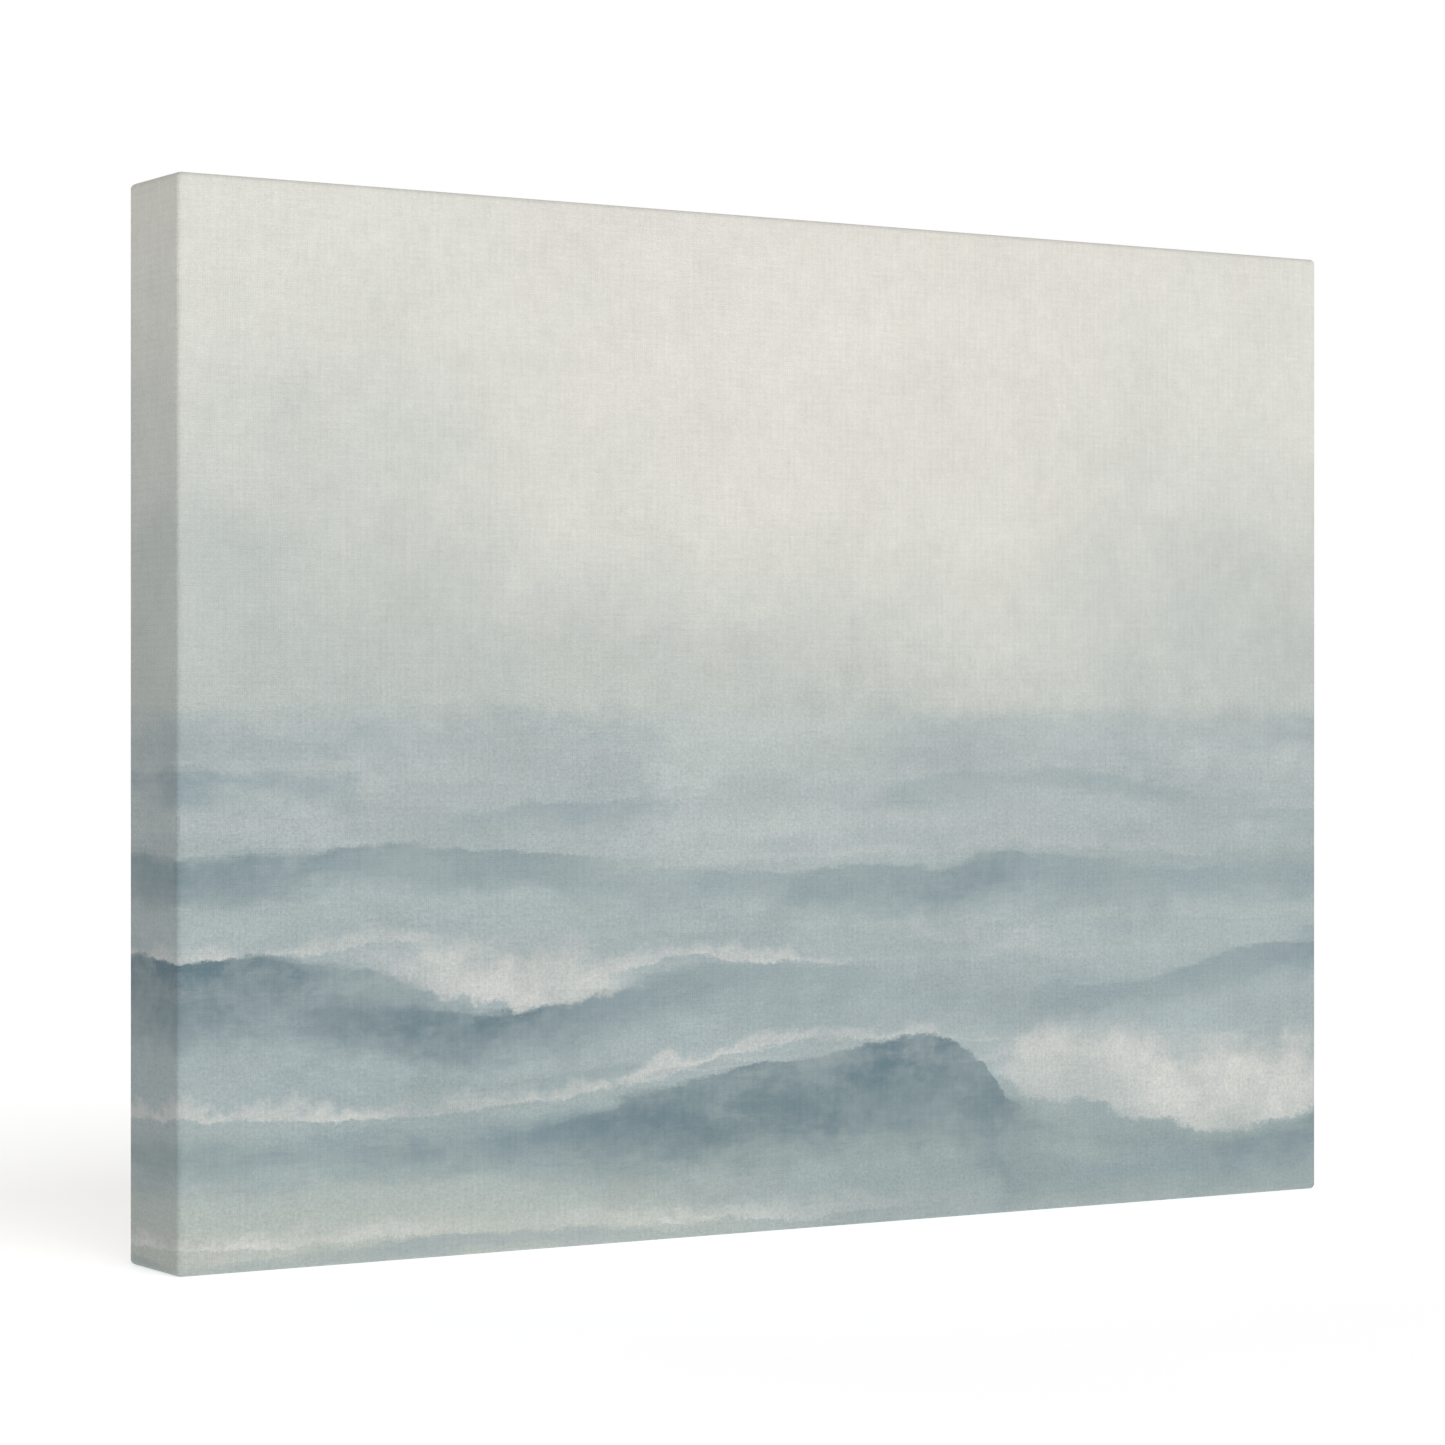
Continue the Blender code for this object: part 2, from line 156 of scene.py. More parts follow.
def curve(value, points):
    """A smooth curve through (position, height) points, level beyond its ends."""
    node = value.tree.nodes.new("ShaderNodeFloatCurve")
    mapping = node.mapping
    mapping.extend = "HORIZONTAL"
    line = mapping.curves[0]
    while len(line.points) < len(points):
        line.points.new(0.5, 0.5)
    for point, place in zip(line.points, points):
        point.location = place
        point.handle_type = "AUTO"
    mapping.update()
    connect(value, node.inputs["Value"])
    return Field(value.tree, node.outputs[0])


def ramp(value, stops):
    """A colour that follows a value through (position, colour) stops."""
    node = value.tree.nodes.new("ShaderNodeValToRGB")
    node.color_ramp.interpolation = "EASE"
    elements = node.color_ramp.elements
    while len(elements) < len(stops):
        elements.new(0.5)
    for element, (place, colour) in zip(elements, stops):
        element.position = place
        element.color = colour
    connect(value, node.inputs["Fac"])
    return Field(value.tree, node.outputs["Color"])


def vector(x, y, z=0.0):
    tree = tree_of(x, y, z)
    node = tree.nodes.new("ShaderNodeCombineXYZ")
    for value, socket in zip((x, y, z), node.inputs):
        connect(value, socket)
    return Field(tree, node.outputs[0])


def parts_of(place):
    node = place.tree.nodes.new("ShaderNodeSeparateXYZ")
    connect(place, node.inputs[0])
    return [Field(place.tree, output) for output in node.outputs]


def noise(place, scale, detail, roughness, seed):
    """Cloudy noise from 0 to 1, mostly near 0.5. Scale is the number of cells in a unit."""
    tree = place.tree
    shift = tree.nodes.new("ShaderNodeVectorMath")
    shift.operation = "ADD"
    connect(place, shift.inputs[0])
    shift.inputs[1].default_value = (seed * 3.7, seed * 1.3, seed * 0.61)
    node = tree.nodes.new("ShaderNodeTexNoise")
    tree.links.new(shift.outputs[0], node.inputs["Vector"])
    node.inputs["Scale"].default_value = scale
    node.inputs["Detail"].default_value = detail
    node.inputs["Roughness"].default_value = roughness
    return Field(tree, node.outputs[0])


def mix(amount, first, second, blend="MIX"):
    tree = tree_of(amount, first, second)
    node = tree.nodes.new("ShaderNodeMix")
    node.data_type = "RGBA"
    node.blend_type = blend
    connect(amount, node.inputs["Factor"])
    connect(first, node.inputs[6])
    connect(second, node.inputs[7])
    return Field(tree, node.outputs[2])


def tinted(colour, amount):
    """A colour made lighter or darker by a small signed amount."""
    level = amount + 1.0
    return mix(1.0, colour, vector(level, level, level), "MULTIPLY")


class Finish:
    """A material in the making: its node tree and its one Principled shader."""

    def __init__(self, name, roughness=0.5, metallic=0.0, specular=0.5):
        self.material = bpy.data.materials.new(name)
        self.material.use_nodes = True
        self.tree = self.material.node_tree
        self.shader = self.tree.nodes["Principled BSDF"]
        self.set("Roughness", roughness)
        self.set("Metallic", metallic)
        self.set("Specular IOR Level", specular)

    def set(self, name, value):
        connect(value, self.shader.inputs[name])

    def place(self):
        node = self.tree.nodes.new("ShaderNodeTexCoord")
        return Field(self.tree, node.outputs["Object"])

    def stored(self, name):
        node = self.tree.nodes.new("ShaderNodeAttribute")
        node.attribute_name = name
        return Field(self.tree, node.outputs["Vector"])

    def bump(self, height, distance, strength):
        node = self.tree.nodes.new("ShaderNodeBump")
        node.inputs["Strength"].default_value = strength
        node.inputs["Distance"].default_value = distance
        connect(height, node.inputs["Height"])
        self.tree.links.new(node.outputs["Normal"], self.shader.inputs["Normal"])


# ---------------------------------------------------------------- the printed picture

ASPECT = WIDTH / HEIGHT
HORIZON = 0.508

SKY_COLOURS = (  # from the horizon up to the top edge
    (0.46, linear(186, 193, 190)),
    (0.54, linear(193, 198, 194)),
    (0.63, linear(201, 205, 200)),
    (0.75, linear(211, 213, 207)),
    (0.90, linear(222, 222, 215)),
    (1.00, linear(226, 225, 217)),
)
WATER_COLOURS = (  # from the bottom edge up to the horizon
    (0.00, linear(181, 189, 185)),
    (0.06, linear(172, 183, 181)),
    (0.20, linear(167, 179, 181)),
    (0.34, linear(171, 182, 183)),
    (0.43, linear(176, 185, 185)),
    (0.50, linear(182, 190, 189)),
)
FOG_WARM = linear(229, 226, 218)
FOG_BLUE = linear(172, 183, 183)
LIT_WATER = linear(198, 204, 201)
WAVE_SOFT = linear(139, 156, 164)
WAVE_DEEP = linear(119, 140, 148)
WAVE_DARK = linear(103, 125, 134)
FOAM = linear(211, 211, 207)
SHALLOW = linear(188, 192, 185)
SKY_GRAIN = 0.046  # how much the grain of the washes shows in the sky
SEA_GRAIN = 0.105  # and how much more of it in the sea
WOBBLE = 0.003  # how far a crest wanders, as a share of the picture's height


def ripple(place, scale, detail, roughness, seed):
    """Noise about zero, mostly within -1 and 1."""
    return (noise(place, scale, detail, roughness, seed) - 0.5) * 4.5


class Wash:
    """The picture being painted: a place 0 to 1 across and up, shared noises, and its colour so far."""

    def __init__(self, across, up):
        place = vector(across * ASPECT, up)
        self.bleed = ripple(place, 3.0, 5.0, 0.6, seed=1)
        self.streaks = ripple(vector(across * ASPECT, up * 3.2), 5.0, 5.0, 0.64, seed=2)
        self.mottle = ripple(place, 15.0, 6.0, 0.72, seed=3)
        self.ragged = ripple(place, 52.0, 4.0, 0.66, seed=4)
        self.grain = ripple(place, 300.0, 3.0, 0.75, seed=5)
        blot = ripple(vector(across * ASPECT, up * 1.9), 6.5, 6.0, 0.64, seed=13)
        self.blooms = smooth(-0.10, 0.16, blot) + smooth(0.35, 0.55, blot) * 0.6 - 0.6
        self.wanders = [ripple(place, 8.0, 3.0, 0.6, seed=6), ripple(place, 12.0, 3.0, 0.6, seed=9)]
        strokes = ripple(vector(across * 15.0, up * 36.0), 1.0, 5.0, 0.66, seed=10)
        self.across = across + self.wanders[0] * 0.012
        self.along = across + self.bleed * 0.03 + self.mottle * 0.02
        self.up = up + strokes * 0.0056 + self.mottle * 0.0018 + self.ragged * 0.0016 + self.grain * 0.0011
        self.wetness = smooth(-0.7, 1.0, self.bleed + self.wanders[1] * 0.5 + strokes * 0.3)
        self.place = place
        self.colour = None


def sky(wash):
    """Fog: warm and pale in the middle, with bluer patches towards the sides."""
    height = wash.up + wash.bleed * 0.05 + wash.mottle * 0.016
    colour = ramp(height, SKY_COLOURS)
    shifted = wash.across + wash.bleed * 0.08
    middle = curve(shifted, ((0.22, 0.0), (0.46, 0.9), (0.62, 1.0), (0.8, 0.6), (0.9, 0.35), (1.0, 0.3)))
    glow = middle * smooth(0.43, 0.78, height)
    colour = mix(glow * 0.85, colour, FOG_WARM)
    patches = smooth(-0.5, 1.1, ripple(wash.place, 3.3, 6.0, 0.64, seed=7) + wash.mottle * 0.15)
    sides = curve(wash.across, (
        (0.0, 0.75), (0.12, 1.0), (0.3, 0.75), (0.48, 0.2),
        (0.62, 0.08), (0.76, 0.6), (0.86, 0.9), (1.0, 0.5),
    ))
    sides = sides * curve(wash.up, ((0.5, 0.9), (0.62, 1.0), (0.75, 0.8), (0.86, 0.3), (0.97, 0.0)))
    colour = mix(patches * sides * 0.5, colour, FOG_BLUE)
    brushed = ripple(vector(wash.across * 11.0, wash.up * 7.0), 1.6, 6.0, 0.72, seed=8)
    return tinted(colour, brushed * 0.024 + wash.mottle * 0.010)


def open_water(wash):
    """The sea's ground wash, below all its waves."""
    height = wash.up + wash.streaks * 0.02 + wash.bleed * 0.01
    colour = ramp(height, WATER_COLOURS)
    broad = ripple(vector(wash.across * 5.0, wash.up * 12.0), 1.3, 5.0, 0.62, seed=12)
    colour = mix(smooth(-0.1, 1.0, broad) * 0.40, colour, WAVE_SOFT)
    lit = curve(wash.along, ((0.37, 0.0), (0.47, 0.5), (0.6, 0.1), (0.7, 0.0))) * smooth(0.30, 0.44, height)
    colour = mix(lit, colour, LIT_WATER)
    return tinted(colour, wash.streaks * 0.056 + wash.mottle * 0.026 - wash.blooms * 0.020)


def crest_line(wash, crest, seed, wobble):
    """The height of a crest, wandering as a wet edge does."""
    wander = wash.wanders[seed % 2]
    return curve(wash.across, crest) + wander * (wobble if seed % 4 < 2 else -wobble)


def lay(wash, tone, amount, strength):
    """Lays a tone over the picture by an amount, as strongly as a curve across the picture says."""
    amount = arithmetic("MINIMUM", amount * curve(wash.along, strength), 1.0)
    wash.colour = mix(amount, wash.colour, tone)


def swell(wash, tone, crest, strength, depth, seed, wobble=WOBBLE, edge=0.0025):
    """Darker water below a crest: crisp along the crest, and bleeding out downwards."""
    below = crest_line(wash, crest, seed, wobble) - wash.up
    reach = below + wash.mottle * (depth * 0.26) + wash.streaks * (depth * 0.22)
    reach = reach + wash.bleed * (depth * 0.12)
    soft = wash.wetness * (edge * 3.4) + edge * 0.8
    body = smooth(soft * -0.3, soft, below) * (1.0 - smooth(depth * 0.32, depth * 1.08, reach))
    pooled = 1.0 - smooth(0.002, 0.012, below)
    uneven = wash.mottle * 0.31 + wash.streaks * 0.18 + wash.ragged * 0.17 + wash.grain * 0.22
    lay(wash, tone, body * (0.73 + uneven + wash.blooms * 0.15 + pooled * 0.04), strength)


def spray_line(wash, crest, strength, thickness, seed):
    """A thin foam edge lying on a crest, broken in places and soft above."""
    above = wash.up - crest_line(wash, crest, seed, WOBBLE)
    uneven = (wash.mottle * 0.5 + wash.wanders[1] * 0.55 + wash.ragged * 0.3) * thickness
    band = smooth(-0.002, 0.0015, above) * (1.0 - smooth(thickness * 0.1, thickness, above + uneven))
    lay(wash, FOAM, band * (0.72 + wash.mottle * 0.42 + wash.streaks * 0.3), strength)


def breaker(wash, top, bottom, strength, seed):
    """A body of tumbling foam, misty above and crisply scalloped below."""
    billow = ripple(wash.place, 15.0, 5.0, 0.66, seed)
    upper = curve(wash.across, top) + billow * 0.018 + wash.bleed * 0.010
    lower = curve(wash.across, bottom) + billow * 0.011 + wash.ragged * 0.004
    above = wash.up - lower
    inside = (1.0 - smooth(-0.035, 0.010, wash.up - upper)) * smooth(-0.001, 0.006, above)
    lumps = 0.70 + billow * 0.30 + wash.bleed * 0.14 + wash.streaks * 0.16 + wash.mottle * 0.16
    lumps = lumps - (1.0 - smooth(0.0, 0.05, above)) * (0.18 + wash.wanders[0] * 0.2)
    lay(wash, FOAM, inside * lumps, strength)


def distant_water(wash):
    """Low, hazy swells from the horizon down."""
    swell(
        wash, WAVE_SOFT, ((0.0, 0.508), (0.5, 0.500), (1.0, 0.512)),
        ((0.0, 0.80), (0.06, 0.50), (0.14, 0.38), (0.24, 0.14), (0.45, 0.02), (0.56, 0.10),
         (0.75, 0.38), (0.88, 0.36), (1.0, 0.46)),
        0.055, seed=11, edge=0.02,
    )
    swell(
        wash, WAVE_SOFT, ((0.0, 0.461), (0.12, 0.457), (0.2, 0.45)),
        ((0.0, 1.0), (0.08, 0.75), (0.14, 0.0)), 0.044, seed=12, edge=0.004,
    )
    swell(
        wash, WAVE_SOFT, ((0.18, 0.416), (0.3, 0.427), (0.4, 0.431)),
        ((0.15, 0.0), (0.26, 0.42), (0.37, 0.62), (0.4, 0.0)), 0.034, seed=13,
    )
    swell(
        wash, WAVE_SOFT, ((0.58, 0.442), (0.7, 0.457), (0.85, 0.436)),
        ((0.57, 0.0), (0.65, 0.45), (0.8, 0.48), (0.88, 0.0)), 0.034, seed=14,
    )
    swell(
        wash, WAVE_SOFT, ((0.86, 0.402), (0.94, 0.410), (1.0, 0.408)),
        ((0.86, 0.0), (0.93, 0.3), (1.0, 0.45)), 0.026, seed=15,
    )


def middle_water(wash):
    """The swells of the middle distance, and the breaking wave on the left."""
    swell(
        wash, WAVE_DEEP, ((0.0, 0.380), (0.1, 0.388), (0.22, 0.385), (0.38, 0.368)),
        ((0.0, 1.0), (0.06, 0.84), (0.25, 0.55), (0.34, 0.2), (0.4, 0.0)), 0.056, seed=16,
    )
    swell(
        wash, WAVE_SOFT, ((0.28, 0.335), (0.42, 0.362), (0.5, 0.35)),
        ((0.27, 0.0), (0.38, 0.25), (0.46, 0.5), (0.53, 0.1)), 0.045, seed=17,
    )
    swell(
        wash, WAVE_DEEP, ((0.48, 0.352), (0.55, 0.361), (0.61, 0.358), (0.68, 0.370), (0.74, 0.366)),
        ((0.48, 0.0), (0.53, 0.45), (0.6, 0.7), (0.68, 0.85), (0.72, 0.0)), 0.060, seed=18, wobble=0.005,
    )
    swell(
        wash, WAVE_SOFT, ((0.66, 0.372), (0.76, 0.366), (0.86, 0.347), (0.93, 0.357), (1.0, 0.36)),
        ((0.66, 0.0), (0.74, 0.5), (0.84, 0.36), (0.93, 0.32), (1.0, 0.45)), 0.05, seed=19,
    )
    spray_line(
        wash, ((0.4, 0.362), (0.5, 0.366), (0.68, 0.376), (0.8, 0.372), (0.9, 0.356)),
        ((0.38, 0.0), (0.47, 0.28), (0.62, 0.2), (0.76, 0.28), (0.92, 0.0)), 0.012, seed=31,
    )
    swell(
        wash, WAVE_DEEP, ((0.3, 0.238), (0.38, 0.262), (0.44, 0.270), (0.56, 0.258)),
        ((0.3, 0.0), (0.36, 0.62), (0.43, 0.6), (0.5, 0.38), (0.6, 0.0)), 0.062, seed=20,
    )
    swell(
        wash, WAVE_DARK, ((0.0, 0.285), (0.1, 0.287), (0.17, 0.266), (0.22, 0.245)),
        ((0.0, 1.1), (0.06, 0.98), (0.16, 0.6), (0.24, 0.0)), 0.085, seed=21,
    )
    swell(
        wash, WAVE_DARK, ((0.12, 0.245), (0.19, 0.236), (0.26, 0.231), (0.33, 0.243), (0.4, 0.256)),
        ((0.1, 0.0), (0.16, 0.8), (0.26, 0.95), (0.33, 0.5), (0.42, 0.0)), 0.060, seed=22,
    )
    spray_line(
        wash, ((0.0, 0.286), (0.08, 0.290), (0.16, 0.297)),
        ((0.0, 0.35), (0.07, 0.7), (0.15, 0.8), (0.2, 0.0)), 0.013, seed=32,
    )
    spray_line(
        wash, ((0.3, 0.250), (0.36, 0.268), (0.42, 0.274), (0.48, 0.266), (0.55, 0.262)),
        ((0.32, 0.0), (0.37, 0.75), (0.42, 0.9), (0.5, 0.85), (0.545, 0.0)), 0.015, seed=33,
    )
    breaker(
        wash, ((0.13, 0.300), (0.2, 0.300), (0.28, 0.290), (0.38, 0.262)),
        ((0.12, 0.290), (0.17, 0.262), (0.22, 0.238), (0.26, 0.230), (0.32, 0.233), (0.38, 0.257)),
        ((0.13, 0.0), (0.17, 0.75), (0.24, 1.0), (0.32, 0.95), (0.38, 0.0)), seed=51,
    )
    breaker(
        wash,
        ((0.6, 0.298), (0.68, 0.300), (0.78, 0.275)), ((0.6, 0.280), (0.68, 0.270), (0.78, 0.258)),
        ((0.58, 0.0), (0.66, 0.6), (0.72, 0.45), (0.8, 0.0)), seed=53,
    )
    swell(
        wash, WAVE_DEEP, ((0.66, 0.222), (0.78, 0.236), (0.86, 0.246), (0.93, 0.266), (1.0, 0.272)),
        ((0.66, 0.0), (0.74, 0.18), (0.84, 0.46), (0.92, 0.68), (1.0, 0.92)), 0.046, seed=23,
    )


def near_water(wash):
    """The front wave, its foam on the right, and the shallows along the bottom."""
    swell(
        wash, WAVE_DEEP, ((0.0, 0.128), (0.12, 0.124), (0.24, 0.126), (0.36, 0.145)),
        ((0.0, 0.75), (0.1, 0.75), (0.24, 0.85), (0.34, 0.75), (0.42, 0.0)), 0.062, seed=24, edge=0.008,
    )
    swell(
        wash, WAVE_SOFT, ((0.24, 0.158), (0.34, 0.172), (0.44, 0.172)),
        ((0.22, 0.0), (0.32, 0.5), (0.42, 0.6), (0.5, 0.0)), 0.02, seed=25,
    )
    spray_line(
        wash, ((0.0, 0.142), (0.08, 0.134), (0.17, 0.130), (0.27, 0.142), (0.36, 0.150), (0.4, 0.16)),
        ((0.0, 0.95), (0.08, 0.85), (0.2, 0.9), (0.33, 0.75), (0.42, 0.2)), 0.019, seed=34,
    )
    swell(
        wash, WAVE_DARK,
        ((0.28, 0.112), (0.33, 0.134), (0.38, 0.148), (0.44, 0.158), (0.48, 0.172), (0.53, 0.172),
         (0.57, 0.182), (0.61, 0.184), (0.64, 0.180), (0.66, 0.166), (0.68, 0.136), (0.70, 0.114),
         (0.76, 0.104), (0.84, 0.088), (1.0, 0.088)),
        ((0.27, 0.0), (0.34, 0.6), (0.42, 0.85), (0.5, 0.8), (0.56, 0.95), (0.62, 0.86),
         (0.67, 0.68), (0.70, 0.30), (0.75, 0.0)),
        0.125, seed=26, wobble=0.002,
    )
    swell(
        wash, WAVE_DARK, ((0.4, 0.118), (0.46, 0.142), (0.52, 0.130), (0.58, 0.142), (0.64, 0.128)),
        ((0.38, 0.0), (0.44, 0.4), (0.5, 0.5), (0.57, 0.45), (0.62, 0.35), (0.67, 0.0)),
        0.062, seed=28, edge=0.014,
    )
    spray_line(
        wash, ((0.3, 0.140), (0.4, 0.166), (0.48, 0.182), (0.56, 0.184), (0.63, 0.186), (0.7, 0.172)),
        ((0.32, 0.0), (0.4, 0.75), (0.48, 0.75), (0.56, 0.65), (0.63, 0.8), (0.68, 0.0)), 0.013, seed=35,
    )
    swell(
        wash, WAVE_DEEP, ((0.6, 0.11), (0.7, 0.095), (0.8, 0.070), (0.9, 0.070), (1.0, 0.085)),
        ((0.62, 0.0), (0.74, 0.38), (0.85, 0.56), (1.0, 0.62)), 0.09, seed=27, edge=0.02,
    )
    swell(
        wash, WAVE_DARK,
        ((0.66, 0.150), (0.7, 0.122), (0.78, 0.108), (0.84, 0.086), (0.93, 0.080), (1.0, 0.094)),
        ((0.64, 0.0), (0.70, 0.52), (0.78, 0.6), (0.9, 0.55), (1.0, 0.6)), 0.054, seed=30, edge=0.012,
    )
    breaker(
        wash,
        ((0.66, 0.172), (0.7, 0.192), (0.74, 0.200), (0.79, 0.182), (0.85, 0.168), (0.92, 0.168),
         (1.0, 0.162)),
        ((0.66, 0.168), (0.69, 0.140), (0.72, 0.118), (0.78, 0.104), (0.84, 0.077), (0.93, 0.072),
         (1.0, 0.086)),
        ((0.66, 0.0), (0.7, 0.9), (0.76, 0.8), (0.82, 0.75), (0.88, 1.0), (1.0, 1.1)), seed=55,
    )
    deep = curve(wash.along, ((0.36, 0.0), (0.5, 0.4), (0.6, 0.6), (0.7, 0.5), (0.8, 0.42), (1.0, 0.6)))
    deep = deep * (1.0 - smooth(0.04, 0.10, wash.up + wash.bleed * 0.012)) * (0.8 + wash.streaks * 0.3)
    wash.colour = mix(deep * 0.75, wash.colour, WAVE_DEEP)
    near = curve(wash.along, ((0.0, 1.0), (0.26, 0.85), (0.4, 0.3), (0.5, 0.0)))
    near = near * (1.0 - smooth(0.02, 0.09, wash.up + wash.bleed * 0.012 + wash.mottle * 0.006))
    wash.colour = mix(near * 0.75, wash.colour, SHALLOW)
    swell(
        wash, WAVE_SOFT, ((0.02, 0.008), (0.12, 0.018), (0.26, 0.022), (0.42, 0.008)),
        ((0.0, 0.2), (0.1, 0.5), (0.26, 0.55), (0.4, 0.2), (0.5, 0.0)), 0.03, seed=29,
    )
    spray_line(
        wash, ((0.0, 0.026), (0.07, 0.022), (0.16, 0.024), (0.3, 0.020), (0.5, 0.014)),
        ((0.0, 1.1), (0.1, 1.0), (0.17, 0.7), (0.26, 0.2), (0.4, 0.7), (0.52, 0.5), (0.6, 0.0)),
        0.018, seed=36,
    )


def seascape(across, up):
    """A misty sea in thin washes: pale fog over a low swell, with foam on the nearer waves."""
    wash = Wash(across, up)
    above = smooth(-0.012, 0.016, wash.up - HORIZON + wash.streaks * 0.004)
    wash.colour = mix(above, open_water(wash), sky(wash))
    distant_water(wash)
    middle_water(wash)
    near_water(wash)
    granular = (1.0 - smooth(0.44, 0.62, wash.up)) * SEA_GRAIN + SKY_GRAIN
    value = wash.grain * granular + wash.mottle * 0.024 + wash.ragged * 0.024 + wash.bleed * 0.010
    warm = wash.wanders[1] * 0.004
    tint = vector(1.0 + value + warm, 1.0 + value, 1.0 + value - warm)
    return mix(1.0, wash.colour, tint, "MULTIPLY")


# ---------------------------------------------------------------- cloth finishes

THREAD_PITCH = 0.70 * MM
HEAVY_PITCH = 3 * THREAD_PITCH  # every third thread is a little heavier
PRIMER = linear(233, 231, 224)
RAW_DARK = linear(226, 220, 204)
RAW_LIGHT = linear(238, 234, 222)
SEED_FLECK = linear(150, 122, 88)
# painted shade: the dim colour laid in the gaps between the raw cloth's threads
THREAD_GAP_SHADE = linear(170, 162, 144)


def weave(across, up, pulled=0.0):
    """The height of a plain weave, from 0 to 1, its level threads flatter where they are pulled."""
    wander_u = noise(vector(across * 60.0, up * 3.0), 1.0, 2.0, 0.6, seed=71) - 0.5
    wander_v = noise(vector(across * 3.0, up * 60.0), 1.0, 2.0, 0.6, seed=72) - 0.5
    turn = math.pi / THREAD_PITCH
    column = arithmetic("SINE", (across + wander_u * (0.5 * MM)) * turn)
    row = arithmetic("SINE", (up + wander_v * (0.5 * MM)) * turn)
    over = column * row
    warp = arithmetic("ABSOLUTE", column) * (0.55 + over * 0.45)
    weft = arithmetic("ABSOLUTE", row) * (0.55 - over * 0.45) * (1.0 - pulled)
    return arithmetic("MAXIMUM", warp, weft)


def heavy_threads(across, up):
    """A faint grid, about zero, where the heavier threads cross."""
    turn = 2 * math.pi / HEAVY_PITCH
    drift = (noise(vector(across, up), 30.0, 2.0, 0.5, seed=77) - 0.5) * 1.6
    return arithmetic("COSINE", across * turn + drift) + arithmetic("COSINE", up * turn + drift) * 0.9


def slubs(across, up, pulled=0.0):
    """Thicker and thinner stretches of single threads, about zero; pulled threads show less."""
    upright = noise(vector(across * 1100.0, up * 160.0), 1.0, 2.0, 0.6, seed=73) - 0.5
    level = noise(vector(across * 160.0, up * 1100.0), 1.0, 2.0, 0.6, seed=74) - 0.5
    return upright + level * (0.8 - pulled * 0.65)


def printed_cloth():
    """The picture on primed cloth. Beyond the front it is mirrored on the sides, and ends on the back."""
    finish = Finish("printed_canvas", roughness=0.82, specular=0.28)
    across, up, _ = parts_of(finish.stored("flat"))
    picture_across = arithmetic("PINGPONG", across / WIDTH + 0.5, 1.0)
    picture_up = arithmetic("PINGPONG", up / HEIGHT, 1.0)
    colour = seascape(picture_across, picture_up)

    beyond_side = arithmetic("ABSOLUTE", across) - WIDTH / 2
    beyond_top = arithmetic("ABSOLUTE", up - HEIGHT / 2) - HEIGHT / 2
    beyond = arithmetic("MAXIMUM", beyond_side, beyond_top)
    beyond = beyond + (noise(vector(across, up), 900.0, 2.0, 0.6, seed=75) - 0.5) * (0.8 * MM)
    unprinted = smooth(-0.2 * MM, 0.2 * MM, beyond - (TO_BACK - EDGE_RADIUS + PRINT_OVERLAP))
    colour = mix(unprinted, colour, PRIMER)

    pulled = smooth(0.0, 3.0 * MM, beyond_side)
    height = weave(across, up, pulled * 0.55)
    lumps = slubs(across, up, pulled)
    grid = heavy_threads(across, up)
    specks = noise(vector(across, up), 1500.0, 3.0, 0.7, seed=76) - 0.5
    # The weave's height tints the colour: painted shade in the hollows between the threads and painted
    # highlight on the thread tops. The heavy threads, slubs and specks are the cloth's own tone.
    colour = tinted(colour, (height - 0.45) * 0.07 + grid * 0.007 + lumps * 0.13 + specks * 0.17)
    finish.set("Base Color", colour)
    finish.set("Roughness", 0.86 - height * 0.08)
    finish.set("Sheen Weight", 0.06)
    finish.bump(height + lumps * 0.9 + specks * 0.5 + grid * 0.15, 0.16 * MM, 0.6)
    return finish.material


def raw_cloth():
    """The unprimed inside of the cloth, with seed flecks, painted shade between its threads, and its cut
    edges.
    """
    finish = Finish("raw_canvas", roughness=0.92, specular=0.15)
    across, up, _ = parts_of(finish.stored("flat"))
    place = vector(across, up)
    height = weave(across, up)
    lumps = slubs(across, up)
    colour = mix(noise(place, 14.0, 4.0, 0.6, seed=81), RAW_DARK, RAW_LIGHT)
    flecks = smooth(0.70, 0.76, noise(place, 420.0, 2.0, 0.5, seed=82))
    colour = mix(flecks * 0.5, colour, SEED_FLECK)
    # painted shade: where the weave is low, between the threads, the colour is darkened as shade would fall
    # there
    gap_shade = 1.0 - smooth(0.05, 0.35, height)
    colour = mix(gap_shade * 0.45, colour, THREAD_GAP_SHADE)
    finish.set("Base Color", tinted(colour, lumps * 0.22))
    finish.set("Sheen Weight", 0.15)
    finish.bump(height + lumps * 1.2, 0.22 * MM, 0.8)
    return finish.material


# ---------------------------------------------------------------- wood, metal and rubber

PINE_EARLY = linear(231, 203, 158)
PINE_LATE = linear(205, 164, 108)
KEY_EARLY = linear(226, 205, 170)
KEY_LATE = linear(203, 174, 130)
KNOT = linear(152, 106, 64)
PITH_SIDE = 21 * MM  # the middle of the tree, to the side of a bar and in front of it
PITH_DEPTH = 45 * MM


